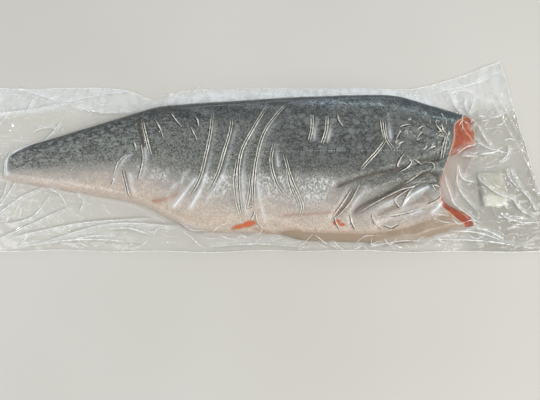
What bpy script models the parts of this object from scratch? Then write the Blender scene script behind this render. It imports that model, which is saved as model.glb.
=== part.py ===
"""A raw salmon fillet, skin side up, sealed in a clear vacuum pouch.

The pouch is one closed solid: the fillet's bulge under a taut film, and the flat flange round it.
X runs along the fish from tail to head, Y across it from belly to back, and Z up. Metres.
"""

import math

import bmesh
import bpy
import numpy as np

# Pouch
POUCH_TAIL_X = -0.311
POUCH_HEAD_X = 0.300
POUCH_HEAD_SLANT = 0.030
POUCH_BELLY_Y = -0.1055
POUCH_BACK_Y = 0.0775
HEAD_CORNER_RISE = 0.0295
BACK_TUCK = 0.014
BACK_TUCK_X = -0.112
BACK_TUCK_LENGTH = 0.024
EDGE_WAVE = 0.0007
FLANGE_THICKNESS = 0.0011
FLANGE_CREASE = 0.0006
SEAL_THICKNESS = 0.0017
SEAL_WIDTH = 0.012
SEAL_STEP = 0.003
FILM_SLOPE_ALONG = 0.8
FILM_SLOPE_ACROSS = 2.4
FILM_CELL = 0.0015
FILM_PASSES = 40
FIELD_REACH_X = 0.330
FIELD_REACH_Y = 0.130

# Fillet
FILLET_TAIL_X = -0.262
FILLET_LENGTH = 0.492
TAIL_THICKNESS = 0.0085
LOIN_THICKNESS = 0.0310
HEAD_THICKNESS = 0.0270
FLAP_SHARE_TAIL = 0.80
FLAP_SHARE_HEAD = 0.40
BACK_SHOULDER = 0.26
BACK_ROUNDING = 0.0120
BELLY_ROUNDING = 0.0075
TAIL_ROUNDING = 0.0040
EDGE_BLEND = 0.0016

# Head end cut: the skin's edge, and how far the flesh stands out past it
COLLAR_X = 0.191
COLLAR_LEAN = 0.0165
BACK_HOOK = 0.016
BELLY_HOOK = 0.022
FLESH_RIM = 0.0055
LOIN_FACE = 0.0185
FLAP_FACE = 0.0125

# Sheet of faces: where the columns change pitch, and how many each stretch has
COLUMN_STRETCHES = (
    (-0.311, -0.270, 5),
    (-0.270, -0.250, 6),
    (-0.250, -0.125, 12),
    (-0.125, 0.060, 43),
    (0.060, 0.188, 33),
    (0.188, 0.236, 17),
    (0.236, 0.300, 8),
)
ROW_COUNTS = (4, 6, 16, 7, 7, 4)
ROW_MARGIN_OUT = 0.004
ROW_MARGIN_BELLY = 0.010
ROW_MARGIN_BACK = 0.016
ROW_MARGIN_SHARE = 0.28
FOLD_SHARE = 0.50
CREASE_LEAN = 0.23

# Folds of the belly flap behind the collar: start, end, bow, half width, height
BELLY_FOLDS = (
    ((0.074, -0.043), (0.200, -0.009), -0.003, 0.0052, -0.0045),
    ((0.094, -0.072), (0.200, -0.032), 0.010, 0.0062, -0.0065),
    ((0.100, -0.056), (0.196, -0.021), 0.004, 0.0058, 0.0022),
    ((0.120, -0.084), (0.200, -0.058), 0.005, 0.0055, -0.0030),
    ((0.114, -0.037), (0.089, -0.079), 0.002, 0.0050, 0.0026),
    ((0.101, -0.040), (0.076, -0.078), 0.002, 0.0042, -0.0020),
)

# Creases where skin and film are drawn together across the flank, in the same order of values
FLANK_CREASES = (
    ((-0.046, 0.034), (-0.066, -0.054), 0.006, 0.0026, 0.0013),
    ((-0.040, 0.014), (-0.068, -0.070), 0.006, 0.0040, 0.0012),
    ((-0.022, 0.033), (-0.046, -0.046), 0.005, 0.0026, 0.0013),
    ((0.013, 0.043), (-0.013, -0.076), -0.012, 0.0028, 0.0016),
    ((0.029, 0.041), (-0.003, -0.067), -0.012, 0.0028, 0.0016),
    ((0.018, 0.006), (0.031, -0.054), -0.005, 0.0026, 0.0012),
    ((0.030, -0.010), (0.049, -0.062), 0.001, 0.0026, 0.0012),
    ((-0.059, -0.034), (-0.082, -0.069), 0.001, 0.0040, 0.0012),
    ((-0.120, 0.031), (-0.118, -0.031), 0.005, 0.0030, 0.0010),
    ((0.137, 0.029), (0.108, -0.025), 0.009, 0.0035, 0.0009),
)

FILM_COLOUR = (0.86, 0.87, 0.86, 1.0)
FILM_ROUGHNESS = 0.12


def rise(value, start, end):
    """Smooth step from 0 at start to 1 at end."""
    share = np.clip((value - start) / (end - start), 0.0, 1.0)
    return share * share * (3.0 - 2.0 * share)


def hump(value, centre, half_width):
    """Smooth bump of height 1."""
    return np.exp(-(((value - centre) / half_width) ** 2))


def lowest(values, blend):
    """Least of several runs, blended softly where they cross."""
    return -blend * np.log(sum(np.exp(-value / blend) for value in values))


def quarter_round(distance, radius):
    """Share of the full height at a distance in from a rounded edge."""
    share = np.clip(distance / radius, 0.0, 1.0)
    return np.sqrt(1.0 - (1.0 - share) ** 2)


def back_edge(share):
    """Y of the back edge: a straight rise from the tail, a long flat run and the fall to the head."""
    tail_run = 0.0035 + 0.145 * share
    loin_run = 0.0468 + 0.0183 * share
    head_run = 0.0605 - 0.158 * (share - 0.845)
    return lowest((tail_run, loin_run, head_run), EDGE_BLEND)


def belly_edge(share):
    """Y of the belly edge, with the step where the belly flap begins and the small one behind it."""
    tail_run = 0.0295 + 0.087 * np.minimum(share, 0.26)
    flap_step = 0.0335 * rise(share, 0.25, 0.44)
    flap_run = 0.0150 * np.maximum(share - 0.44, 0.0)
    small_step = 0.0062 * rise(share, 0.575, 0.65)
    head_rise = 0.0215 * rise(share, 0.82, 1.02)
    return -(tail_run + flap_step + flap_run + small_step - head_rise)


def collar_x(y):
    """X of the skin's edge at the head end: a hollow with a hook at the back and one at the belly."""
    lean = COLLAR_LEAN * rise(y, -0.045, 0.020)
    back = BACK_HOOK * np.clip((y - 0.019) / 0.015, 0.0, 1.4) ** 2
    belly = BELLY_HOOK * np.clip((-0.0615 - y) / 0.018, 0.0, 1.2) ** 1.3
    return COLLAR_X + lean + back + belly


def cut_width(y):
    """How far the cut flesh reaches past the skin's edge: widest on the loin, narrow in the hollow."""
    loin = LOIN_FACE * rise(y, -0.006, 0.010) * (1.0 - 0.75 * rise(y, 0.022, 0.038))
    flap = FLAP_FACE * hump(y, -0.068, 0.012)
    return FLESH_RIM + loin + flap


def thickness(share, across):
    """Thickness of the flesh, thick along the loin and thin at the tail and the belly flap."""
    along = TAIL_THICKNESS + (LOIN_THICKNESS - TAIL_THICKNESS) * rise(share, -0.10, 0.72)
    along = along - (LOIN_THICKNESS - HEAD_THICKNESS) * rise(share, 0.78, 1.0)
    flap_share = FLAP_SHARE_TAIL + (FLAP_SHARE_HEAD - FLAP_SHARE_TAIL) * rise(share, 0.15, 0.60)
    shoulder = 1.0 - BACK_SHOULDER * (1.0 - rise(across, -0.06, 0.25))
    return along * shoulder * (1.0 - (1.0 - flap_share) * rise(across, 0.26, 1.02))


def arc_points(start, end, bow, count):
    """Points of a shallow arc from start to end, bowed to its left by bow at the middle."""
    shares = np.linspace(0.0, 1.0, count)
    length = math.hypot(end[0] - start[0], end[1] - start[1])
    left = np.array((start[1] - end[1], end[0] - start[0])) / length
    line = np.outer(1.0 - shares, start) + np.outer(shares, end)
    return line + np.outer(4.0 * bow * shares * (1.0 - shares), left)


def crease_relief(x, y, creases):
    """Summed height of ridges and grooves that follow arcs and fade out at both ends."""
    total = np.zeros_like(x)
    for start, end, bow, half_width, height in creases:
        points = arc_points(start, end, bow, 9)
        nearest = np.full(x.shape, np.inf)
        share_there = np.zeros_like(x)
        for index in range(len(points) - 1):
            first = points[index]
            step = points[index + 1] - first
            along = ((x - first[0]) * step[0] + (y - first[1]) * step[1]) / step.dot(step)
            along = np.clip(along, 0.0, 1.0)
            gap = np.hypot(x - first[0] - along * step[0], y - first[1] - along * step[1])
            closer = gap < nearest
            nearest = np.where(closer, gap, nearest)
            share_there = np.where(closer, (index + along) / (len(points) - 1), share_there)
        fade = rise(share_there, -0.02, 0.22) * (1.0 - rise(share_there, 0.78, 1.02))
        total = total + height * fade * np.exp(-((nearest / half_width) ** 2))
    return total


def fillet_height(x, y):
    """Height of the fillet's skin and cut faces over the table, zero outside it."""
    share = (x - FILLET_TAIL_X) / FILLET_LENGTH
    inside = np.clip(share, 0.0, 1.02)
    back = back_edge(inside)
    belly = belly_edge(inside)
    across = np.clip((back - y) / (back - belly), 0.0, 1.0)
    relief = crease_relief(x, y, BELLY_FOLDS) + crease_relief(x, y, FLANK_CREASES)
    body = thickness(inside, across) + relief
    rounded = quarter_round(back - y, BACK_ROUNDING) * quarter_round(y - belly, BELLY_ROUNDING)
    tail_end = quarter_round(x - FILLET_TAIL_X, TAIL_ROUNDING)
    face = np.clip((collar_x(y) + cut_width(y) - x) / cut_width(y), 0.0, 1.0) ** 0.75
    return body * rounded * tail_end * face


def taut_film(height, cell):
    """The fillet's form as a taut film lies over it, no steeper than the film can stand."""
    film = height.copy()
    for _ in range(FILM_PASSES):
        for axis, slope in ((1, FILM_SLOPE_ALONG), (0, FILM_SLOPE_ACROSS)):
            for way in (-1, 1):
                film = np.maximum(film, np.roll(film, way, axis=axis) - slope * cell)
    return film


def sampled(field, x, y, corner, cell):
    """Bilinear reading of a field on a square grid."""
    column = np.clip((x - corner[0]) / cell, 0.0, field.shape[1] - 1.001)
    row = np.clip((y - corner[1]) / cell, 0.0, field.shape[0] - 1.001)
    left = column.astype(int)
    low = row.astype(int)
    right_share = column - left
    high_share = row - low
    bottom = field[low, left] * (1.0 - right_share) + field[low, left + 1] * right_share
    top = field[low + 1, left] * (1.0 - right_share) + field[low + 1, left + 1] * right_share
    return bottom * (1.0 - high_share) + top * high_share


def edge_wave(x):
    """Slight uneven wave of the pouch's long edges."""
    return EDGE_WAVE * (np.sin(x * 62.0 + 1.2) + np.sin(x * 23.0))


def pouch_back_y(x):
    """Y of the pouch's long edge at the back, tucked in near the tail and rising to the head corner."""
    corner = HEAD_CORNER_RISE * rise(x, 0.165, 0.325) * 1.18
    tuck = BACK_TUCK * hump(x, BACK_TUCK_X, BACK_TUCK_LENGTH)
    return POUCH_BACK_Y + corner - tuck + edge_wave(x)


def pouch_belly_y(x):
    """Y of the pouch's long edge at the belly."""
    return POUCH_BELLY_Y + edge_wave(x)


def flange_height(x, y):
    """Height of the flat film round the fillet: soft creases out to the edges and the seal lines."""
    head_share = rise(x, 0.215, 0.250)
    fan = np.sin(np.arctan2(y + 0.010, x - 0.180) * 14.0) * head_share
    tail_share = 1.0 - rise(x, -0.285, -0.255)
    waves = np.sin(y * 110.0 - x * 40.0) * tail_share
    return FLANGE_THICKNESS + FLANGE_CREASE * (1.0 + 0.9 * fan + 0.8 * waves)


def seal_share(x, head_x):
    """1 on the fused bands across both ends of the pouch, 0 elsewhere."""
    inset = np.minimum(head_x - x, x - POUCH_TAIL_X)
    return 1.0 - rise(inset, SEAL_WIDTH, SEAL_WIDTH + SEAL_STEP)


def head_edge_x(y):
    """X of the pouch's slanted head edge."""
    share = (y - POUCH_BELLY_Y) / (POUCH_BACK_Y + HEAD_CORNER_RISE - POUCH_BELLY_Y)
    return POUCH_HEAD_X + POUCH_HEAD_SLANT * (0.37 - share)


def column_places():
    """X of each column of the sheet before it is skewed."""
    places = []
    for start, end, count in COLUMN_STRETCHES:
        places.extend(start + (end - start) * index / count for index in range(count))
    places.append(COLUMN_STRETCHES[-1][1])
    return np.array(places)


def row_places(x):
    """Y of each row in one column, close together along the fillet's two edges."""
    share = min(max((x - FILLET_TAIL_X) / FILLET_LENGTH, 0.0), 1.0)
    back = float(back_edge(np.array(share)))
    belly = float(belly_edge(np.array(share)))
    widest_margin = ROW_MARGIN_SHARE * (back - belly)
    low = belly + min(ROW_MARGIN_BELLY, widest_margin)
    high = back - min(ROW_MARGIN_BACK, widest_margin)
    stops = (
        float(pouch_belly_y(x)),
        belly - ROW_MARGIN_OUT,
        low,
        low + FOLD_SHARE * (high - low),
        high,
        back + ROW_MARGIN_OUT,
        float(pouch_back_y(x)),
    )
    places = []
    for start, end, count in zip(stops[:-1], stops[1:], ROW_COUNTS):
        places.extend(start + (end - start) * index / count for index in range(count))
    places.append(stops[-1])
    return np.array(places)


def sheet_places():
    """X and Y of every point of the sheet: columns skewed to the collar and to the slanted head edge."""
    columns = column_places()
    y = np.array([row_places(x) for x in columns])
    x = np.repeat(columns[:, None], y.shape[1], axis=1)
    tailward = rise(x, -0.16, -0.09) * (1.0 - rise(x, -0.020, 0.060))
    headward = rise(x, -0.020, 0.060) * (1.0 - rise(x, 0.060, 0.130))
    near_collar = rise(x, 0.100, 0.188) * (1.0 - rise(x, 0.220, 0.300))
    near_edge = np.clip((x - 0.188) / (POUCH_HEAD_X - 0.188), 0.0, 1.0)
    near_collar = near_collar * rise(y, -0.104, -0.082) * (1.0 - rise(y, 0.042, 0.080))
    reach = np.clip(y, -0.078, 0.036)
    x = x + CREASE_LEAN * (tailward - headward) * (y + 0.015)
    x = x + near_collar * (collar_x(reach) - COLLAR_X - 0.5 * COLLAR_LEAN)
    return x + near_edge * (head_edge_x(y) - POUCH_HEAD_X), y


def sheet_heights(x, y):
    """Height of the pouch's upper film over the table at every point of the sheet."""
    corner = (-FIELD_REACH_X, -FIELD_REACH_Y)
    grid_x, grid_y = np.meshgrid(
        np.arange(-FIELD_REACH_X, FIELD_REACH_X, FILM_CELL),
        np.arange(-FIELD_REACH_Y, FIELD_REACH_Y, FILM_CELL),
    )
    film = taut_film(fillet_height(grid_x, grid_y), FILM_CELL)
    bulge = sampled(film, x, y, corner, FILM_CELL)
    flat = flange_height(x, y)
    seal = seal_share(x, head_edge_x(y))
    flat = flat * (1.0 - seal) + SEAL_THICKNESS * seal
    return flat + bulge


def build_pouch():
    """The sealed pouch: an upper sheet, an edge wall and a flat underside, closed."""
    x, y = sheet_places()
    z = sheet_heights(x, y)
    columns, rows = x.shape
    mesh = bmesh.new()
    top = [
        [mesh.verts.new((x[i, j], y[i, j], z[i, j])) for j in range(rows)]
        for i in range(columns)
    ]
    for i in range(columns - 1):
        for j in range(rows - 1):
            mesh.faces.new((top[i][j], top[i + 1][j], top[i + 1][j + 1], top[i][j + 1]))
    rim = [top[i][0] for i in range(columns)]
    rim += [top[columns - 1][j] for j in range(1, rows)]
    rim += [top[i][rows - 1] for i in range(columns - 2, -1, -1)]
    rim += [top[0][j] for j in range(rows - 2, 0, -1)]
    foot = [mesh.verts.new((vert.co.x, vert.co.y, 0.0)) for vert in rim]
    for index, vert in enumerate(rim):
        after = (index + 1) % len(rim)
        mesh.faces.new((vert, foot[index], foot[after], rim[after]))
    mesh.faces.new(list(reversed(foot)))
    bmesh.ops.triangulate(mesh, faces=mesh.faces[:])
    bmesh.ops.recalc_face_normals(mesh, faces=mesh.faces[:])
    return add_object("vacuum_pouch", mesh, film_material())


def film_material():
    """Clear, slightly cloudy film."""
    material = bpy.data.materials.new("pouch_film")
    material.use_nodes = True
    shader = material.node_tree.nodes["Principled BSDF"]
    shader.inputs["Base Color"].default_value = FILM_COLOUR
    shader.inputs["Roughness"].default_value = FILM_ROUGHNESS
    shader.inputs["Metallic"].default_value = 0.0
    return material


def add_object(name, mesh, material):
    """Puts a finished mesh in the scene under its node's name."""
    data = bpy.data.meshes.new(name)
    mesh.to_mesh(data)
    mesh.free()
    data.materials.append(material)
    data.shade_smooth()
    data.set_sharp_from_angle(angle=math.radians(50.0))
    piece = bpy.data.objects.new(name, data)
    bpy.context.scene.collection.objects.link(piece)
    return piece


def main():
    """Clears the scene and builds the part."""
    for old in list(bpy.data.objects):
        bpy.data.objects.remove(old, do_unlink=True)
    build_pouch()


main()
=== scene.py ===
"""A raw side of salmon in its clear vacuum pouch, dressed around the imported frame.

The fish, the film and the small pad follow the sizes of the solid that they replace.
Strokes are given in millimetres, everything else is in metres.
"""

import logging
import math
from collections.abc import Callable, Mapping, Sequence
from dataclasses import dataclass, field
from enum import Enum
from typing import Any

import bpy
import numpy as np
from bpy.types import Material, Node, NodeTree, Object
from bpy.types import NodeSocket as Socket
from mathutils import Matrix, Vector
from numpy.typing import NDArray


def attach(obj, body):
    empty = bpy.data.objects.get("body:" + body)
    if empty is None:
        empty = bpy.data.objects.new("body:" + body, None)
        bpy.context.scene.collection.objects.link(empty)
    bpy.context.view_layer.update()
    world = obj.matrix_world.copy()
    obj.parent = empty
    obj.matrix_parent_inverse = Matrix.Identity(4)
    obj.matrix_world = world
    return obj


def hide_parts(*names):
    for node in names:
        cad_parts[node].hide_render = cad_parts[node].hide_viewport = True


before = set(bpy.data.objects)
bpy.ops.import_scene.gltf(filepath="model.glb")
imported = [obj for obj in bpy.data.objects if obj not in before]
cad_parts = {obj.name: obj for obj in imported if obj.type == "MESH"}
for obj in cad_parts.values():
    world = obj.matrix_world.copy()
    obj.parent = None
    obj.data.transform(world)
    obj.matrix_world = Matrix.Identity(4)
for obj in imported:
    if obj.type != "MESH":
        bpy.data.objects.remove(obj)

Field = NDArray[np.float64]
Place = tuple[float, float]
Triple = tuple[float, float, float]
Colour = tuple[float, float, float, float]

NODE = "vacuum_pouch"
BODY = "root"
LOG = logging.getLogger("salmon")


def rise(value: Field | float, start: float, end: float) -> Field:
    """Smooth step from 0 at start to 1 at end."""
    share = np.clip((np.asarray(value, float) - start) / (end - start), 0.0, 1.0)
    return share * share * (3.0 - 2.0 * share)


def fall(value: Field | float, start: float, end: float) -> Field:
    """Smooth step from 1 at start to 0 at end."""
    return 1.0 - rise(value, start, end)


def stepped(value: Field, step: Triple) -> Field:
    """Smooth step given by its height and the two values between which it rises."""
    return step[0] * rise(value, step[1], step[2])


def hump(value: Field, centre: float, half_width: float) -> Field:
    """Smooth bump of height 1 about centre."""
    return np.exp(-(((value - centre) / half_width) ** 2))


def lowest(values: Sequence[Field], blend: float) -> Field:
    """Least of several runs, blended softly where they cross."""
    return -blend * np.log(sum(np.exp(-value / blend) for value in values))


def quarter_round(distance: Field, radius: float) -> Field:
    """Share of the full height at a distance in from a rounded edge."""
    share = np.clip(distance / radius, 0.0, 1.0)
    return np.sqrt(1.0 - (1.0 - share) ** 2)


def spread(columns: int, rows: int) -> list[Field]:
    """Shares from 0 to 1 along and across a grid, columns first."""
    return np.meshgrid(np.linspace(0.0, 1.0, columns), np.linspace(0.0, 1.0, rows), indexing="ij")


def paint(red: int, green: int, blue: int) -> Colour:
    """Linear colour of a shade as it shows on a display.

    Args:
        red, green, blue: its levels, 0 to 255.

    Returns:
        The colour as a shader takes it, opaque.
    """
    shares = (level / 255.0 for level in (red, green, blue))
    linear = (s / 12.92 if s <= 0.04045 else ((s + 0.055) / 1.055) ** 2.4 for s in shares)
    return (*linear, 1.0)


def ripples(x: Field, y: Field, pitch: float, seed: int, stretch: float = 1.0, count: int = 14) -> Field:
    """Irregular waves of about unit height.

    Args:
        x, y: places on the table.
        pitch: mean distance from crest to crest.
        seed: picks the waves.
        stretch: how much longer the waves are along X than across it.
        count: how many waves are laid over each other.

    Returns:
        The waves' height at each place.
    """
    picks = np.random.default_rng(seed)
    total = np.zeros_like(x)
    for _ in range(count):
        turn = picks.uniform(0.0, math.tau)
        beat = math.tau / (pitch * picks.uniform(0.7, 1.5))
        phase = picks.uniform(0.0, math.tau)
        total += np.sin(x * beat * math.cos(turn) / stretch + y * beat * math.sin(turn) + phase)
    return total / math.sqrt(count / 2.0)


@dataclass(frozen=True)
class Stroke:
    """A smooth line on the table through a few places."""

    places: tuple[Place, ...]

    def points(self, count: int) -> Field:
        """Places along the line, evenly shared out between the ones it runs through.

        Args:
            count: how many places.

        Returns:
            X and Y of each.
        """
        given = np.array(self.places)
        ends = (2.0 * given[0] - given[1], 2.0 * given[-1] - given[-2])
        knots = np.vstack((ends[0], given, ends[1]))
        at = np.linspace(0.0, len(given) - 1.0, count)
        index = np.minimum(at.astype(int), len(given) - 2)
        t = (at - index)[:, None]
        p0, p1, p2, p3 = (knots[index + step] for step in range(4))
        bend = (2.0 * p0 - 5.0 * p1 + 4.0 * p2 - p3) * t**2 + (3.0 * p1 - p0 - 3.0 * p2 + p3) * t**3
        return p1 + 0.5 * ((p2 - p0) * t + bend)

    def measure(self, x: Field, y: Field, steps: int = 14) -> tuple[Field, Field]:
        """Where places lie beside the line.

        Args:
            x, y: the places.
            steps: how many straight runs stand for the line.

        Returns:
            Their distance, positive on the line's left, and the nearest share of its length.
        """
        points = self.points(steps + 1)
        gap = np.full(x.shape, np.inf)
        share = np.zeros_like(x)
        for index in range(steps):
            first = points[index]
            run = points[index + 1] - first
            along = np.clip(((x - first[0]) * run[0] + (y - first[1]) * run[1]) / run.dot(run), 0.0, 1.0)
            off_x = x - first[0] - along * run[0]
            off_y = y - first[1] - along * run[1]
            far = np.hypot(off_x, off_y) * np.where(run[0] * off_y - run[1] * off_x >= 0.0, 1.0, -1.0)
            closer = np.abs(far) < np.abs(gap)
            gap = np.where(closer, far, gap)
            share = np.where(closer, (index + along) / steps, share)
        return gap, share

    def near(self, x: Field, y: Field, reach: float) -> NDArray[np.bool_]:
        """Whether places lie by the line's own box.

        Args:
            x, y: the places.
            reach: how far outside the box still counts.

        Returns:
            True for each place within reach.
        """
        points = self.points(9)
        low = points.min(0) - reach
        high = points.max(0) + reach
        return (x > low[0]) & (x < high[0]) & (y > low[1]) & (y < high[1])


def strokes(*rows: tuple[float, ...]) -> tuple[Stroke, ...]:
    """Strokes from rows of x and y in millimetres."""
    return tuple(Stroke(tuple((a / 1000.0, b / 1000.0) for a, b in zip(row[::2], row[1::2]))) for row in rows)


@dataclass(frozen=True)
class Folds:
    """Folds of one kind, and how they stand up or sink in."""

    lines: tuple[Stroke, ...]
    half_width: float
    height: float = 0.0

    def gather(self, x: Field, y: Field, reach: float, rule: Callable[[Field, Field], Field]) -> Field:
        """Largest value of a rule over the lines, faded at both ends of each line.

        Args:
            x, y: places on the table.
            reach: how far from a line the rule still counts.
            rule: gives a value from 0 to 1 for distances from a line and shares of its length.

        Returns:
            The largest value at each place.
        """
        total = np.zeros_like(x)
        for line in self.lines:
            close = line.near(x, y, reach)
            gap, share = line.measure(x[close], y[close])
            fade = rise(share, -0.02, 0.12) * fall(share, 0.88, 1.02)
            total[close] = np.maximum(total[close], fade * rule(gap, share))
        return total

    def relief(self, x: Field, y: Field) -> Field:
        """Height that the folds add at places on the table."""
        return self.height * self.band(x, y)

    def band(
        self, x: Field, y: Field, half_width: float = 0.0, beside: float = 0.0, grow: float = 0.0
    ) -> Field:
        """A soft band along the lines, from 0 to 1.

        Args:
            x, y: places on the table.
            half_width: half the band's width, the folds' own where it is 0.
            beside: how far to the left of the lines it runs.
            grow: how much fainter it is where the lines start.

        Returns:
            The band's strength at each place.
        """
        width = half_width or self.half_width

        def rule(gap: Field, share: Field) -> Field:
            """The strength across a line, which grows along it."""
            return hump(gap, beside, width) * (1.0 - grow * fall(share, 0.30, 0.80))

        return self.gather(x, y, 3.0 * width + abs(beside), rule)


FLANK = Folds(strokes(
    (-44, 36.5, -46, 12, -50, -9, -56, -32.5, -67, -53),
    (-23.5, 29.5, -25.5, 13.5, -31.5, -7.5, -37.5, -27.5, -45.5, -43),
    (13, 43.5, -2.5, 15.5, -13.5, -7.5, -16.5, -35, -12.5, -74), (-17, -12.5, -20, -35, -17.5, -58, -12.5, -74),
    (32, 45.5, 11, 15, 2.5, -13, -0.5, -37, -0.5, -61), (-2.5, -27, -5.5, -50, -7.5, -64, 0.5, -60),
    (20, 2, 17, -17, 23, -39, 33.5, -53), (30.5, -9.5, 37.5, -33.5, 48.5, -59.5, 46.5, -72.5),
    (33.5, -23.5, 36.5, -40.5, 44.5, -60.5), (-138, -22.5, -133, -39.5, -129, -52),
    (-119, 29.5, -113, 9, -108, -7.5), (134.5, 5.5, 126, -6, 116.5, -16, 107.5, -26),
    (59.5, 32.5, 59, 17.5, 56, 3.5), (75, 31, 73.5, 15, 69, 0.5), (133.5, 25, 133.5, 14, 135.5, 4.5, 141, -4.5),
    (130.5, 26, 131.5, 15, 133.5, 5.5),
), 0.0010, 0.0010)

FINE = Folds(strokes(
    (1.5, -66, 3, -76, 9, -84), (0.5, -66, -0.5, -71, -3.5, -76), (-119, 4.5, -116, -12.5, -120.5, -34.5),
    (-106, 32.5, -99.5, 21.5, -95, 10.5), (-88.5, 38, -82, 29, -76, 22), (-63, 34.5, -59.5, 28.5, -58, 21.5),
    (-66.5, 21.5, -62, 12.5, -59.5, 7), (-127, 7, -124.5, 2.5, -124, -3), (85.5, 34.5, 87, 26, 91, 19.5),
    (154.5, -8.5, 150, -12.5, 146, -20.5, 148, -21.5), (157.5, -14.5, 160.5, -17.5, 156.5, -22.5, 149, -26.5),
    (163.5, -14.5, 167.5, -16.5, 172, -19.5), (173, -16.5, 182, -17.5, 183, -22.5, 180, -27.5),
    (198, 13, 193, -1, 191.5, -13), (200.5, 15.5, 196, 1, 193.5, -13), (144.5, 3.5, 147, 10, 150.5, 15.5),
    (145.5, -0.5, 148.5, 1.5, 153, 3.5), (153, 12, 156.5, 14.5, 157, 9), (165.5, 6, 170, 11.5, 173, 14.5),
    (167, 15.5, 171.5, 19, 176, 20.5), (187.5, 22, 190.5, 17.5, 194, 13), (193.5, 23.5, 194.5, 16.5, 198, 12),
    (149.5, 18.5, 155, 21, 160, 22), (177, -5.5, 181.5, -2, 185.5, -1),
), 0.0009, 0.0006)

PLEATS = Folds(strokes(
    (100, -43.5, 90, -58.5, 80, -71.5), (107.5, -39.5, 97, -58.5, 83, -73.5),
    (105, -68.5, 127.5, -55.5, 150, -44.5, 162.5, -41.5, 169.5, -37.5),
    (153, -38.5, 160.5, -34.5, 170.5, -27.5), (162.5, -42.5, 156, -50.5, 150, -62.5),
    (161.5, -42.5, 151, -48.5, 143, -55.5, 150, -64.5), (119.5, -68.5, 121.5, -76.5, 130, -84.5),
    (97, -68.5, 99, -77.5, 103, -85.5), (194.5, -48, 187.5, -55, 177, -60),
    (132.5, -71.5, 151, -68.5, 174.5, -62), (82, -71.5, 83, -77.5, 86.5, -84.5),
    (131.5, -79.5, 138.5, -82.5, 146.5, -78.5), (191.5, -43, 186.5, -40, 181, -39.5),
    (185, -45, 183, -42, 183, -39), (-133.5, -6, -142.5, -15, -146, -29), (-143, -29, -146, -35, -147.5, -39.5),
), 0.0009, 0.0006)

# SHEEN and BRIGHT are low swells of film over the skin; the film's finish also paints pale reflection bands
# along them.
SHEEN = Folds(strokes(
    (-41.5, 32.5, -43, 6.5, -48.5, -25.5, -55.5, -46, -67.5, -66),
    (-17, 24.5, -24, 1, -29, -20.5, -35, -36, -53.5, -62),
    (8.5, 33.5, -5.5, 2.5, -11.5, -23, -11.5, -50, -5.5, -75), (25.5, 34, 10, 4.5, 3.5, -25, 5, -51, 13, -84),
    (23, 3, 23, -10, 25, -24), (65.5, 28.5, 62, 17.5, 61, 3.5), (79, 28.5, 77.5, 15, 74, 0.5),
    (-66.5, -22, -72.5, -29, -75.5, -39.5), (138.5, 36, 138, 20.5, 139.5, 3.5),
    (110, -72.5, 127.5, -62.5, 147, -52.5), (124.5, -77.5, 148, -72.5, 175.5, -64),
    (114.5, -39.5, 109.5, -47.5, 98, -63.5), (-130.5, -24, -128, -37.5, -123, -48),
    (-123, -50, -126, -36, -131, -24), (-146, -40, -143.5, -26, -136, -12, -127, -5),
    (-117, -34, -113, -14, -115, 3), (-90, -52, -86, -44, -78, -36),
), 0.0020, 0.0007)

BRIGHT = Folds(strokes(
    (-48.5, -25.5, -55.5, -46, -67.5, -66), (-59, -31.5, -69, -44.5, -84, -64),
    (149, -63.5, 160.5, -50.5, 181, -40), (179, -69, 187, -63, 194.5, -55), (-264, -1, -255, 5, -240, 11.5),
    (-264.5, 0, -264, -13, -262, -28),
), 0.0022, 0.0006)

TAIL_FILM = Folds(strokes(
    (-266, 3, -267, -14, -266, -29), (-264, -29, -267, -48.5, -276, -66), (-255, -31, -264, -50.5, -275, -69),
    (-222, -37, -249, -50, -272, -70), (-216, -46, -233.5, -70, -262, -78), (-221, -38, -207, -45.5, -198, -59),
    (-193, -58, -236.5, -79.5, -280, -101), (-189, -44, -180.5, -52.5, -184, -64),
    (-106, -71, -180.5, -76.5, -254, -92), (-74, -80, -151.5, -77.5, -226, -99),
    (-153, -82, -130.5, -82, -109, -88), (-190, -94, -166.5, -90, -143, -90),
    (-250, -102, -181, -93.5, -112, -97), (-273, 80, -242, 69.5, -211, 59), (-215, 61, -175, 49, -133, 49),
    (-211, 61, -252, 51, -294, 47), (-215, 60, -177, 69.5, -138, 75), (-249, 66, -252, 57, -253, 48),
    (-216, 38, -222, 25, -231, 14), (-244, 26, -231.5, 30.5, -218, 31),
), 0.0010, 0.0011)

HEAD_FILM = Folds(strokes(
    (197, -28, 210, -55.5, 233, -76), (212, -13, 218.5, -42, 236, -66), (214, -16, 223, -28.5, 238, -33),
    (217, 72, 223, 56, 233, 42), (216, 70, 230.5, 75, 246, 72), (235, 67, 234, 56.5, 237, 46),
    (246, 71, 242.5, 58, 237, 46), (211, -6, 226, 4.5, 243, 11), (242, -1, 255, 0.5, 268, 4),
    (245, 34, 251, 19.5, 259, 6), (238, 18, 252, 7.5, 269, 2), (277, 11, 273.5, -1.5, 263, -10),
    (270, -16, 272.5, -28, 280, -38), (275, -15, 278, -28.5, 285, -41), (271, -46, 280, -62, 296, -71),
    (240, -30, 256.5, -44.5, 277, -52), (282, -39, 291, -51.5, 297, -66), (200, -85, 229.5, -86, 258, -95),
    (226, -80, 243.5, -85, 259, -94), (180, -93, 235.5, -95, 290, -103), (220, -6, 231, -3.5, 242, -3),
    (205, 74, 236.5, 80.5, 267, 91), (258, 41, 268.5, 43.5, 278, 48), (256, -68, 277.5, -75.5, 300, -75),
), 0.0010, 0.0011)

BELLY_FILM = Folds(strokes(
    (-78, -76, -65, -83.5, -50, -85), (-48, -101, 0.5, -98, 49, -101), (77, -99, 81.5, -100, 85, -103),
    (102, -103, 107, -102, 111, -99), (15, -97, 21.5, -93.5, 29, -92), (120, -101, 147.5, -96, 175, -95),
), 0.0010, 0.0008)

SLACK_FOLDS = (TAIL_FILM, HEAD_FILM, BELLY_FILM)

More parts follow.
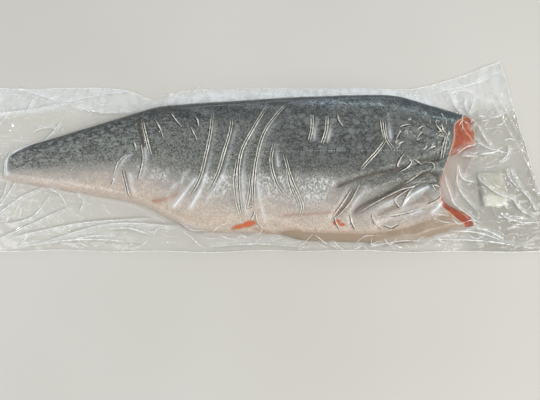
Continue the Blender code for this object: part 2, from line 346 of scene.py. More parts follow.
SEALS = Folds(strokes(
    (262, 74, 274, 40.5, 288, 8), (288, 8, 298, -25.5, 300, -60), (270, 80, 281, 46.5, 294, 14),
    (-298, 70, -298, -13, -298, -96), (-303, 70, -303, -13, -303, -96),
), 0.0012, 0.0003)

GROOVES = Folds(strokes(
    (80, -42.5, 99, -35.5, 121.5, -29, 140, -26, 158.5, -19.5), (164.5, -16.5, 179, -14.5, 193.5, -13),
    (98, -71.5, 109.5, -60.5, 129.5, -50.5, 151, -39.5, 169.5, -30.5, 180, -27.5, 194.5, -33),
    (-124.5, 35.5, -118.5, 9, -112, -8.5),
), 0.0020, -0.0012)

FACETS = Folds(strokes(
    (123.5, -70.5, 146, -61.5, 177, -53), (171.5, -46.5, 176, -51, 180, -58),
    (103.5, -42.5, 94, -58.5, 83, -71.5), (127.5, -53.5, 143, -50.5, 160.5, -43.5),
), 0.0030, -0.0008)

WEDGE = Folds(strokes((-77.5, -46.5, -86.5, -51.5, -96.5, -54.5, -107.5, -56)), 0.0026)

RUST = Folds(strokes(
    (26, -71, 46.5, -69.5, 80, -67.5, 91, -61.5), (-2.5, -83, 11, -86, 24.5, -89.5),
), 0.0014)

BIG_FOLDS = (
    Folds(strokes((74, -43, 137.5, -29, 200, -9)), 0.0046, -0.0034),
    Folds(strokes((94, -72, 144, -42.5, 200, -32)), 0.0056, -0.0055),
    Folds(strokes((100, -56, 147, -35, 196, -21)), 0.0055, 0.0022),
    Folds(strokes((120, -84, 159, -66.5, 200, -58)), 0.0050, -0.0028),
    Folds(strokes((114, -37, 103, -59, 89, -79)), 0.0045, 0.0026),
    Folds(strokes((101, -40, 90, -60, 76, -78)), 0.0036, -0.0020),
)

RIDGE = Folds(strokes((47, 47, 100, 47, 146, 42.5, 193, 31, 216, 25)), 0.0016)

MEMBRANES = Folds(strokes(
    (218, 34, 220, 26.5, 224, 20), (224, 20, 230.5, 17, 236, 12), (229, 33, 231, 27.5, 235, 23),
    (207, -58, 216, -65, 224, -73),
), 0.0009)


@dataclass(frozen=True)
class Patch:
    """A part of the slack film that is finely wrinkled."""

    centre: Place
    reach: Place
    turn: float
    length: float
    count: int

    def lines(self, seed: int) -> tuple[Stroke, ...]:
        """Short bent strokes strewn over the patch.

        Args:
            seed: picks the strokes.

        Returns:
            The strokes.
        """
        picks = np.random.default_rng(seed)
        made = []
        for _ in range(self.count):
            middle = np.array(self.centre) + np.array(self.reach) * picks.uniform(-1.0, 1.0, 2)
            turn = math.radians(self.turn) + picks.normal(0.0, 0.45)
            way = np.array((math.cos(turn), math.sin(turn)))
            half = self.length * picks.uniform(0.35, 1.0) / 2.0
            side = np.array((-way[1], way[0])) * half * picks.normal(0.0, 0.30)
            places = (middle - half * way, middle + side, middle + half * way)
            made.append(Stroke(tuple(tuple(place) for place in places)))
        return tuple(made)


PATCHES = (
    Patch((0.232, 0.048), (0.016, 0.026), 70.0, 0.013, 26),
    Patch((0.258, 0.020), (0.022, 0.030), 15.0, 0.014, 22),
    Patch((0.262, -0.052), (0.030, 0.026), -50.0, 0.014, 30),
    Patch((0.235, -0.080), (0.045, 0.016), -8.0, 0.020, 26),
    Patch((0.100, -0.098), (0.090, 0.005), 3.0, 0.022, 20),
    Patch((-0.100, -0.091), (0.120, 0.010), 2.0, 0.024, 26),
    Patch((-0.262, -0.066), (0.034, 0.026), 40.0, 0.018, 26),
    Patch((-0.284, 0.010), (0.014, 0.050), 80.0, 0.014, 18),
    Patch((-0.225, 0.058), (0.060, 0.012), 8.0, 0.022, 18),
    Patch((0.040, 0.071), (0.150, 0.005), 0.0, 0.022, 16),
)

GLINT_PATCHES = (
    Patch((0.168, 0.014), (0.026, 0.018), 60.0, 0.0055, 26),
    Patch((0.194, 0.014), (0.006, 0.020), 75.0, 0.0065, 16),
    Patch((0.150, -0.074), (0.036, 0.005), 10.0, 0.0060, 14),
)

WRINKLES = Folds(sum((patch.lines(seed) for seed, patch in enumerate(PATCHES, 20)), ()), 0.0006, 0.0003)

GLINTS = Folds(sum((patch.lines(seed) for seed, patch in enumerate(GLINT_PATCHES, 50)), ()), 0.0005)


class Crest(Enum):
    """What a crest of film looks like."""

    CREAM = "pinched_film_glint"
    THIN = "thin_pinched_film"
    SLACK = "slack_crest_glint"
    SHADED = "shaded_film"
    SOFT = "softly_shaded_film"


@dataclass(frozen=True)
class CrestSet:
    """Crests swept along one kind of folds, or beside them, and their size."""

    name: str
    folds: Folds
    look: Crest
    half_width: float
    height: float
    beside: tuple[float, ...] = (0.0,)
    points: int = 56
    tip: float = 0.04
    taper: float = 0.6


# Crest pieces: the pale ones are raised film whose colour also paints the glints along the crests.
CREST_SETS = (
    CrestSet("flank_crests", FLANK, Crest.CREAM, 0.00054, 0.00042, (0.00100, -0.00110)),
    # Dark strips that paint shade between the twin flank crests and beside the fine crests and pleats.
    CrestSet("flank_crest_shades", FLANK, Crest.SHADED, 0.00060, 0.00022),
    CrestSet("fine_crests", FINE, Crest.THIN, 0.00060, 0.00040),
    CrestSet("fine_crest_shades", FINE, Crest.SHADED, 0.00055, 0.00016, (-0.0012,)),
    CrestSet("pleat_crests", PLEATS, Crest.THIN, 0.00058, 0.00040),
    CrestSet("pleat_crest_shades", PLEATS, Crest.SOFT, 0.00055, 0.00016, (-0.0012,)),
    CrestSet("tail_film_crests", TAIL_FILM, Crest.SLACK, 0.00060, 0.00044),
    CrestSet("head_film_crests", HEAD_FILM, Crest.SLACK, 0.00070, 0.00048),
    CrestSet("belly_film_crests", BELLY_FILM, Crest.SLACK, 0.00045, 0.00034),
    CrestSet("head_glints", GLINTS, Crest.CREAM, 0.00034, 0.00030, points=12),
    CrestSet("flange_wrinkles", WRINKLES, Crest.SLACK, 0.00040, 0.00034, points=14),
    CrestSet("seal_lines", SEALS, Crest.THIN, 0.00060, 0.00024),
)


@dataclass(frozen=True)
class BareSpot:
    """A place on the belly edge where orange flesh shows past the skin."""

    centre: Place
    reach_along: float
    reach_across: float
    turn: float = 0.0

    def share(self, x: Field, y: Field) -> Field:
        """How much of the spot shows.

        Args:
            x, y: places on the table.

        Returns:
            1 at its middle, falling to 0 outside it.
        """
        off_x = x - self.centre[0]
        off_y = y - self.centre[1]
        along = (off_x * math.cos(self.turn) + off_y * math.sin(self.turn)) / self.reach_along
        across = (off_y * math.cos(self.turn) - off_x * math.sin(self.turn)) / self.reach_across
        return np.exp(-(along**2) - across**2)


BARE_SPOTS = (
    BareSpot((-0.0055, -0.0790), 0.0070, 0.0032, 0.26),
    BareSpot((-0.0150, -0.0815), 0.0085, 0.0020, 0.22),
    BareSpot((0.0838, -0.0775), 0.0040, 0.0026, 0.40),
    BareSpot((0.0890, -0.0800), 0.0032, 0.0016),
)


@dataclass
class FishForm:
    """The fillet's sizes and the rules for its outline and its height.

    A run of an edge is its Y and its slope, a step its size and the shares between which it rises.
    """

    tail_x: float = -0.2655
    length: float = 0.4955
    past_head: float = 1.02
    base_z: float = 0.0010
    tail_thickness: float = 0.0085
    loin_thickness: float = 0.0310
    head_thickness: float = 0.0270
    loin_zone: Place = (-0.10, 0.72)
    head_zone: Place = (0.78, 1.0)
    flap_growth: Place = (0.15, 0.60)
    flap_zone: Place = (0.26, 1.02)
    shoulder_zone: Place = (-0.06, 0.25)
    flap_share_tail: float = 0.80
    flap_share_head: float = 0.40
    back_shoulder: float = 0.26
    back_rounding: float = 0.0120
    belly_rounding: float = 0.0075
    tail_rounding: float = 0.0040
    edge_blend: float = 0.0016
    tail_run: Place = (0.0034, 0.159)
    tail_dip: Place = (0.006, 0.05)
    loin_run: Place = (0.0462, 0.0265)
    back_y: float = 0.0655
    head_run: Triple = (0.0648, -0.158, 0.845)
    belly_run: Triple = (0.0295, 0.087, 0.26)
    flap_step: Triple = (0.0335, 0.25, 0.44)
    flap_slope: float = 0.0150
    small_step: Triple = (0.0062, 0.575, 0.65)
    head_lift: Triple = (0.0215, 0.82, 1.02)
    collar: float = 0.191
    collar_lean: Triple = (0.0165, -0.045, 0.020)
    back_hook: Triple = (0.016, 0.019, 0.015)
    belly_hook: Triple = (0.022, -0.0575, 0.020)
    flesh_rim: float = 0.0055
    loin_face: Triple = (0.0275, -0.006, 0.010)
    loin_taper: Triple = (0.75, 0.022, 0.038)
    flap_face: Triple = (0.0195, -0.068, 0.012)
    face_power: float = 0.75
    skin_step: Triple = (0.0008, -0.0002, 0.0012)
    calm_tail: Place = (0.0, 0.06)
    soft_share: float = 0.8
    wave: float = 0.00022
    wave_pitch: float = 0.024
    wave_seed: int = 5

    def back_edge(self, share: Field) -> Field:
        """Y of the back edge: a straight rise from the tail, a long flat run and the fall to the head.

        Args:
            share: shares of the length from the tail.

        Returns:
            Y at each share.
        """
        tail = self.tail_run[0] + self.tail_run[1] * share
        tail -= self.tail_dip[0] * np.clip(1.0 - share / self.tail_dip[1], 0.0, 1.0) ** 2
        loin = self.loin_run[0] + self.loin_run[1] * share
        head = self.head_run[0] + self.head_run[1] * (share - self.head_run[2])
        return lowest((tail, loin, self.back_y + 0.0 * share, head), self.edge_blend)

    def belly_edge(self, share: Field) -> Field:
        """Y of the belly edge, with the step where the belly flap begins and the small one behind it.

        Args:
            share: shares of the length from the tail.

        Returns:
            Y at each share.
        """
        start, slope, end = self.belly_run
        depth = start + slope * np.minimum(share, end)
        depth += stepped(share, self.flap_step) + self.flap_slope * np.maximum(share - self.flap_step[2], 0.0)
        return stepped(share, self.head_lift) - depth - stepped(share, self.small_step)

    def collar_x(self, y: Field) -> Field:
        """X of the skin's edge at the head end: a hollow with a hook at the back and one at the belly.

        Args:
            y: places across the fish.

        Returns:
            X at each place.
        """
        size, start, width = self.back_hook
        back = size * np.clip((y - start) / width, 0.0, 1.4) ** 2
        size, start, width = self.belly_hook
        belly = size * np.clip((start - y) / width, 0.0, 1.2) ** 1.3
        return self.collar + stepped(y, self.collar_lean) + back + belly

    def cut_width(self, y: Field) -> Field:
        """How far the cut flesh reaches past the skin's edge.

        Args:
            y: places across the fish.

        Returns:
            The reach at each place.
        """
        loin = stepped(y, self.loin_face) * (1.0 - stepped(y, self.loin_taper))
        size, centre, half_width = self.flap_face
        return self.flesh_rim + loin + size * hump(y, centre, half_width)

    def along(self, x: Field) -> Field:
        """Share of the length from the tail."""
        return np.clip((x - self.tail_x) / self.length, 0.0, self.past_head)

    def shares(self, x: Field, y: Field) -> tuple[Field, Field]:
        """Where places lie on the fish.

        Args:
            x, y: the places.

        Returns:
            Their share of the length from the tail, and of the width from the back edge.
        """
        along = self.along(x)
        back = self.back_edge(along)
        return along, np.clip((back - y) / (back - self.belly_edge(along)), 0.0, 1.0)

    def thickness(self, along: Field, across: Field) -> Field:
        """Thickness of the flesh, thick along the loin and thin at the tail and the belly flap.

        Args:
            along: shares of the length from the tail.
            across: shares of the width from the back edge.

        Returns:
            The thickness at each place.
        """
        run = self.tail_thickness + (self.loin_thickness - self.tail_thickness) * rise(along, *self.loin_zone)
        run = run - (self.loin_thickness - self.head_thickness) * rise(along, *self.head_zone)
        flap_fall = (self.flap_share_head - self.flap_share_tail) * rise(along, *self.flap_growth)
        flap = self.flap_share_tail + flap_fall
        shoulder = 1.0 - self.back_shoulder * fall(across, *self.shoulder_zone)
        return run * shoulder * (1.0 - (1.0 - flap) * rise(across, *self.flap_zone))

    def relief(self, x: Field, y: Field) -> Field:
        """Folds, grooves and creases pressed into the skin by the film.

        Args:
            x, y: places on the table.

        Returns:
            The height that they add.
        """
        total = sum(folds.relief(x, y) for folds in (*BIG_FOLDS, FLANK, GROOVES, FACETS))
        total += self.soft_share * (SHEEN.relief(x, y) + BRIGHT.relief(x, y))
        return total + self.wave * ripples(x, y, self.wave_pitch, self.wave_seed)

    def top(self, x: Field, y: Field) -> Field:
        """Height of the skin and the cut faces over the table.

        Args:
            x, y: places on the table.

        Returns:
            The height at each place.
        """
        along, across = self.shares(x, y)
        past = x - self.collar_x(y)
        body = self.thickness(along, across) + self.relief(x, y) * rise(along, *self.calm_tail)
        body -= stepped(past, self.skin_step)
        rounded = quarter_round(self.back_edge(along) - y, self.back_rounding)
        rounded *= quarter_round(y - self.belly_edge(along), self.belly_rounding)
        tail_end = quarter_round(x - self.tail_x, self.tail_rounding)
        width = self.cut_width(y)
        face = np.clip((width - past) / width, 0.0, 1.0) ** self.face_power
        return self.base_z + body * rounded * tail_end * face

    def grid(self, columns: int, rows: int, crowding: float = 0.085, passes: int = 8) -> tuple[Field, Field]:
        """Places of a sheet that spans the fillet from the tail to the foot of the cut.

        Args:
            columns: how many along the fish.
            rows: how many across it.
            crowding: how much closer together the rows are at both edges.
            passes: how often the end of each row is fitted to the foot of the cut.

        Returns:
            X and Y of every place.
        """
        u, v = spread(columns, rows)
        v = v - crowding * np.sin(2.0 * math.pi * v) / math.pi
        x = self.tail_x + u * self.length
        for _ in range(passes):
            along = self.along(x)
            back = self.back_edge(along)
            y = back + v * (self.belly_edge(along) - back)
            foot = self.collar_x(y) + self.cut_width(y)
            x = self.tail_x + u * (foot - self.tail_x)
        return x, y


@dataclass
class PouchForm:
    """The pouch's outline and the rule by which its upper film lies over what is inside."""

    tail_edge: float = -0.311
    head_edge: float = 0.300
    head_slant: float = 0.030
    head_pivot: float = 0.37
    head_zone: float = 0.188
    belly_y: float = -0.1055
    back_y: float = 0.0775
    corner_rise: float = 0.0295
    corner_run: Triple = (1.18, 0.165, 0.325)
    tuck: float = 0.014
    tuck_x: float = -0.112
    tuck_length: float = 0.024
    edge_wave: float = 0.0007
    edge_beats: Place = (62.0, 23.0)
    edge_phase: float = 1.2
    slope_along: float = 0.8
    slope_across: float = 2.4
    cell: float = 0.0009
    passes: int = 60
    smoothing: int = 8
    gap: float = 0.0004
    under_z: float = 0.0003
    slack_z: float = 0.0007
    slack_least: float = 0.7
    loose_zone: Place = (0.0002, 0.0040)
    taut_folds: float = 0.45
    swells: tuple[tuple[float, float, int, float], ...] = ((0.00030, 0.030, 11, 2.2), (0.00016, 0.011, 12, 1.6))
    reach: Place = (0.330, 0.130)

    def wave(self, x: Field) -> Field:
        """Slight uneven wave of the long edges."""
        short, long = self.edge_beats
        return self.edge_wave * (np.sin(x * short + self.edge_phase) + np.sin(x * long))

    def back_at(self, x: Field) -> Field:
        """Y of the long edge at the back."""
        corner = self.corner_rise * stepped(x, self.corner_run)
        return self.back_y + corner - self.tuck * hump(x, self.tuck_x, self.tuck_length) + self.wave(x)

    def belly_at(self, x: Field) -> Field:
        """Y of the long edge at the belly."""
        return self.belly_y + self.wave(x)

    def head_at(self, y: Field) -> Field:
        """X of the slanted head edge."""
        share = (y - self.belly_y) / (self.back_y + self.corner_rise - self.belly_y)
        return self.head_edge + self.head_slant * (self.head_pivot - share)

    def grid(self, columns: int, rows: int) -> tuple[Field, Field]:
        """A sheet that fills the pouch's outline.

        Args:
            columns: how many places along it.
            rows: how many across it.

        Returns:
            X and Y of every place.
        """
        u, v = spread(columns, rows)
        x = self.tail_edge + u * (self.head_edge - self.tail_edge)
        y = self.belly_at(x) + v * (self.back_at(x) - self.belly_at(x))
        near_edge = np.clip((x - self.head_zone) / (self.head_edge - self.head_zone), 0.0, 1.0)
        return x + near_edge * (self.head_at(y) - self.head_edge), y

    def taut(self, lump: Field) -> Field:
        """The film's lie over the lumps inside: bridged down to the table, then drawn smooth.

        Args:
            lump: height of what is inside, on the square grid.

        Returns:
            The film's height on that grid.
        """
        film = lump.copy()
        for _ in range(self.passes):
            for axis, slope in ((1, self.slope_along), (0, self.slope_across)):
                for way in (-1, 1):
                    film = np.maximum(film, np.roll(film, way, axis=axis) - slope * self.cell)
        for _ in range(self.smoothing):
            mean = sum(np.roll(film, way, axis=axis) for axis in (0, 1) for way in (-1, 1)) / 4.0
            film = np.maximum(lump, mean)
        return film


@dataclass
class PadForm:
    """The small pale pad that lies in the pouch past the head end."""

    centre: Place = (0.2535, -0.0395)
    length: float = 0.028
    width: float = 0.0385
    thickness: float = 0.0019
    turn: float = math.radians(2.0)
    corner: float = 0.0022
    crimp: float = 0.0022
    rim_share: float = 0.35
    crease: Triple = (0.30, 0.001, 0.0012)
    crease_slant: float = 0.10

    def inset(self, x: Field, y: Field) -> Field:
        """How far places lie in from the pad's rounded outline.

        Args:
            x, y: the places.

        Returns:
            Their distance, negative outside.
        """
        off_x = (x - self.centre[0]) * math.cos(self.turn) + (y - self.centre[1]) * math.sin(self.turn)
        off_y = (y - self.centre[1]) * math.cos(self.turn) - (x - self.centre[0]) * math.sin(self.turn)
        over_x = np.abs(off_x) - self.length / 2 + self.corner
        over_y = np.abs(off_y) - self.width / 2 + self.corner
        outside = np.hypot(np.maximum(over_x, 0.0), np.maximum(over_y, 0.0))
        return self.corner - outside - np.minimum(np.maximum(over_x, over_y), 0.0)

    def top(self, x: Field, y: Field) -> Field:
        """The pad's relief: a crimped rim, a soft fill and one crease across it.

        Args:
            x, y: places on the table.

        Returns:
            Height of the pad over its foot.
        """
        inset = self.inset(x, y)
        fill = self.rim_share + (1.0 - self.rim_share) * rise(inset, self.crimp * 0.6, self.crimp * 2.2)
        depth, place, half_width = self.crease
        off = y - self.centre[1] + self.crease_slant * (x - self.centre[0])
        creased = 1.0 - depth * hump(off, place, half_width)
        return self.thickness * fill * creased * rise(inset, -0.0002, 0.0004)


@dataclass
class FilmField:
    """The upper film's height on a square grid, made once and read by every piece."""

    fish: FishForm
    pouch: PouchForm
    pad: PadForm
    height: Field = field(init=False)
    lump: Field = field(init=False)
    slope: Field = field(init=False)

    def __post_init__(self) -> None:
        """Lays the film over the fish and the pad, and creases it."""
        pouch = self.pouch
        reach_x, reach_y = pouch.reach
        cell = pouch.cell
        x, y = np.meshgrid(np.arange(-reach_x, reach_x, cell), np.arange(-reach_y, reach_y, cell))
        pad = self.pad.top(x, y) + self.fish.base_z * rise(self.pad.inset(x, y), -0.0004, 0.0)
        self.lump = np.maximum(self.fish.top(x, y), pad)
        lying = pouch.taut(self.lump)
        self.slope = np.hypot(*np.gradient(lying, cell))
        loose = fall(lying - self.fish.base_z, *pouch.loose_zone)
        swell = sum(height * ripples(x, y, *waves) for height, *waves in pouch.swells)
        flange = pouch.slack_z * (pouch.slack_least + (1.0 - pouch.slack_least) * loose) + loose * swell
        folds = sum(kind.relief(x, y) for kind in (*SLACK_FOLDS, SEALS, WRINKLES))
        clinging = FINE.relief(x, y) + PLEATS.relief(x, y)
        self.height = lying + pouch.gap + np.maximum(flange * loose, 0.0)
        self.height += folds * (pouch.taut_folds + (1.0 - pouch.taut_folds) * loose) + clinging

    def read(self, x: Field, y: Field, of: Field | None = None) -> Field:
        """Bilinear reading of the film's height, or of another field on its grid.

        Args:
            x, y: places on the table.
            of: the field to read, the film's height if it is left out.

        Returns:
            The field's values at those places.
        """
        grid = self.height if of is None else of
        column = np.clip((x + self.pouch.reach[0]) / self.pouch.cell, 0.0, grid.shape[1] - 1.001)
        row = np.clip((y + self.pouch.reach[1]) / self.pouch.cell, 0.0, grid.shape[0] - 1.001)
        left, low = column.astype(int), row.astype(int)
        right_share, high_share = column - left, row - low
        bottom = grid[low, left] * (1.0 - right_share) + grid[low, left + 1] * right_share
        top = grid[low + 1, left] * (1.0 - right_share) + grid[low + 1, left + 1] * right_share
        return bottom * (1.0 - high_share) + top * high_share


class MeshKit:
    """Makes finished mesh objects at the origin."""

    SHARP = math.radians(62.0)

    @staticmethod
    def place(name: str, data: bpy.types.ID) -> Object:
        """Puts an object at the origin of the scene.

        Args:
            name: its name.
            data: its mesh, curve, light or camera.

        Returns:
            The object.
        """
        made = bpy.data.objects.new(name, data)
        bpy.context.scene.collection.objects.link(made)
        return made

    @staticmethod
    def closed_sheet(name: str, x: Field, y: Field, z: Field, foot_z: float) -> Object:
        """A closed body from a grid of places: a relief on top, a wall and a flat underside.

        Args:
            name: the object's name.
            x, y: places of the grid, columns first.
            z: height of the top.
            foot_z: height of the underside.

        Returns:
            The object, smooth, with its faces pointing out.
        """
        columns, rows = x.shape
        index = np.arange(columns * rows).reshape(columns, rows)
        rim = np.concatenate((index[:, 0], index[-1, 1:], index[-2::-1, -1], index[0, -2:0:-1]))
        upper = np.stack((x.ravel(), y.ravel(), z.ravel()), axis=1)
        lower = upper[rim].copy()
        lower[:, 2] = foot_z
        foot = np.arange(len(rim)) + len(upper)
        corners = (index[:-1, :-1], index[1:, :-1], index[1:, 1:], index[:-1, 1:])
        quads = np.stack(corners, axis=-1).reshape(-1, 4)
        across = upper[quads[:, 2]] - upper[quads[:, 0]]
        along = upper[quads[:, 3]] - upper[quads[:, 1]]
        turn = (across[:, 0] * along[:, 1] - across[:, 1] * along[:, 0]).sum()
        wall = np.stack((rim, foot, np.roll(foot, -1), np.roll(rim, -1)), axis=-1)
        faces = quads.tolist() + wall.tolist() + [foot[::-1].tolist()]
        if turn < 0.0:
            faces = [face[::-1] for face in faces]
        mesh = bpy.data.meshes.new(name)
        mesh.from_pydata(np.concatenate((upper, lower)).tolist(), [], faces)
        mesh.shade_smooth()
        mesh.set_sharp_from_angle(angle=MeshKit.SHARP)
        return MeshKit.place(name, mesh)

    @staticmethod
    def attributes(piece: Object, tints: Mapping[str, Field], feet: Mapping[str, float] | None = None) -> None:
        """Stores numbers on a piece's vertices, in the order of the mesh.

        Args:
            piece: the piece, whose top comes first in its mesh.
            tints: the top's numbers by name.
            feet: the underside's number by name, 0 where it is left out.
        """
        for name, values in tints.items():
            whole = np.full(len(piece.data.vertices), (feet or {}).get(name, 0.0))
            whole[: values.size] = values.ravel()
            piece.data.attributes.new(name, "FLOAT", "POINT").data.foreach_set("value", whole)

    @staticmethod
    def line(name: str, runs: Sequence[tuple[Field, Field]]) -> Object:
        """A curve object made of open runs of points.

        Args:
            name: the object's name.
            runs: the places and radii of each run.

        Returns:
            The curve object.
        """
        curve = bpy.data.curves.new(name, "CURVE")
        curve.dimensions = "3D"
        for places, radii in runs:
            spline = curve.splines.new("POLY")
            spline.points.add(len(places) - 1)
            rows = np.concatenate((places, np.ones((len(places), 1))), axis=1)
            spline.points.foreach_set("co", rows.ravel())
            spline.points.foreach_set("radius", radii)
        return MeshKit.place(name, curve)


class Shared(Enum):
    """Shader groups that several finishes use."""

    CRINKLE = "crinkle lines"
    MOTTLE = "mottle"
    PLATES = "plates"
    MOIST = "moist sheen"


Groups = Mapping[Shared, NodeTree]


@dataclass
class Wiring:
    """Adds nodes to one tree and links them; textures read `where` unless they are given a place."""

    tree: NodeTree
    where: Any = None
    groups: Groups = field(default_factory=dict)

    def node(self, kind: str, inputs: Mapping[str | int, Any] | None = None, **settings: Any) -> Node:
        """Adds a node.

        Args:
            kind: the node's type.
            inputs: values or sockets by input name or number.
            settings: properties of the node itself.

        Returns:
            The new node.
        """
        made = self.tree.nodes.new(kind)
        for name, value in settings.items():
            setattr(made, name, value)
        for key, value in (inputs or {}).items():
            self.feed(made.inputs[key], value)
        return made

    def feed(self, socket: Socket, value: Any) -> None:
        """Links a socket to another, or sets its value.

        Args:
            socket: the input.
            value: a socket or a plain value.
        """
        if isinstance(value, Socket):
            self.tree.links.new(value, socket)
        else:
            socket.default_value = value

    def dress(self, inputs: Mapping[str, Any]) -> None:
        """Feeds the material's Principled shader, by input name."""
        for key, value in inputs.items():
            self.feed(self.tree.nodes["Principled BSDF"].inputs[key], value)

    def math(self, operation: str, *values: Socket | float, clamp: bool = False) -> Socket:
        """Result of a Math node."""
        inputs = dict(enumerate(values))
        return self.node("ShaderNodeMath", inputs, operation=operation, use_clamp=clamp).outputs[0]

    def plus(self, first: Socket | float, second: Socket | float, clamp: bool = False) -> Socket:
        """Sum of two numbers."""
        return self.math("ADD", first, second, clamp=clamp)

    def less(self, first: Socket | float, second: Socket | float, clamp: bool = False) -> Socket:
        """The first number less the second."""
        return self.math("SUBTRACT", first, second, clamp=clamp)

    def times(self, *values: Socket | float) -> Socket:
        """Product of several numbers.

        Args:
            values: the numbers.

        Returns:
            The product.
        """
        total = values[0]
        for value in values[1:]:
            total = self.math("MULTIPLY", total, value)
        return total

    def blend(self, share: Socket | float, first: Any, second: Any, how: str = "MIX") -> Socket:
        """Mix of two colours.

        Args:
            share: how much of the second colour shows.
            first: the colour below.
            second: the colour laid on it.
            how: the way they mix.

        Returns:
            The mixed colour.
        """
        mix = self.node("ShaderNodeMix", data_type="RGBA", blend_type=how, clamp_factor=True)
        for number, value in ((0, share), (6, first), (7, second)):
            self.feed(mix.inputs[number], value)
        return mix.outputs[2]

    def step(self, value: Socket, start: float, end: float, low: float = 0.0, high: float = 1.0) -> Socket:
        """Smooth step of a value from low at start to high at end."""
        inputs = {"Value": value, "From Min": start, "From Max": end, "To Min": low, "To Max": high}
        return self.node("ShaderNodeMapRange", inputs, interpolation_type="SMOOTHSTEP", clamp=True).outputs[0]

    def noise(
        self, scale: Any, detail: float = 2.0, rough: float = 0.5, where: Any = None, **more: Any
    ) -> Socket:
        """Noise value over places, about 0.5."""
        inputs = {"Vector": where or self.where, "Scale": scale, "Detail": detail, "Roughness": rough, **more}
        return self.node("ShaderNodeTexNoise", inputs).outputs[0]

    def cells(self, scale: float, jitter: float, where: Any = None) -> Socket:
        """Distance to the middle of each Voronoi cell."""
        inputs = {"Vector": where or self.where, "Scale": scale, "Randomness": jitter}
        return self.node("ShaderNodeTexVoronoi", inputs).outputs["Distance"]

    def crest_lines(self, noise: Socket, sharpness: Any) -> Socket:
        """Thin lines where a noise passes its mean."""
        off = self.math("ABSOLUTE", self.less(noise, 0.5))
        return self.less(1.0, self.times(off, sharpness), clamp=True)

    def stretched(self, scale: Triple, turn: float = 0.0) -> Socket:
        """The tree's places scaled by axis and turned about Z."""
        inputs = {"Vector": self.where, "Scale": scale, "Rotation": (0.0, 0.0, turn)}
        return self.node("ShaderNodeMapping", inputs).outputs[0]

    def ramp(self, share: Socket, stops: Sequence[tuple[float, Colour]]) -> Socket:
        """Colour from a ramp.

        Args:
            share: the place on the ramp.
            stops: its places and colours, in order.

        Returns:
            The colour there.
        """
        made = self.node("ShaderNodeValToRGB", {0: share})
        band = made.color_ramp.elements
        for element, (place, colour) in ((band[0], stops[0]), (band[-1], stops[-1])):
            element.position = place
            element.color = colour
        for place, colour in stops[1:-1]:
            band.new(place).color = colour
        return made.outputs[0]

    def attribute(self, name: str) -> Socket:
        """Number stored on the piece's vertices."""
        return self.node("ShaderNodeAttribute", attribute_name=name).outputs["Fac"]

    def group(self, kind: Shared, where: Any = None, **inputs: Any) -> Any:
        """Outputs of a copy of a shared group with its own values."""
        given = {"Vector": where or self.where, **inputs}
        return self.node("ShaderNodeGroup", given, node_tree=self.groups[kind]).outputs

    def mottle(self, scale: float, level: float, softness: float, where: Any = None) -> Socket:
        """Mask of the shared group of soft-edged blotches."""
        return self.group(Shared.MOTTLE, where, Scale=scale, Level=level, Softness=softness)[0]

    def bump(self, height: Socket, strength: float, distance: float) -> Socket:
        """Normal of a surface with a fine relief."""
        inputs = {"Strength": strength, "Distance": distance, "Height": height}
        return self.node("ShaderNodeBump", inputs).outputs[0]


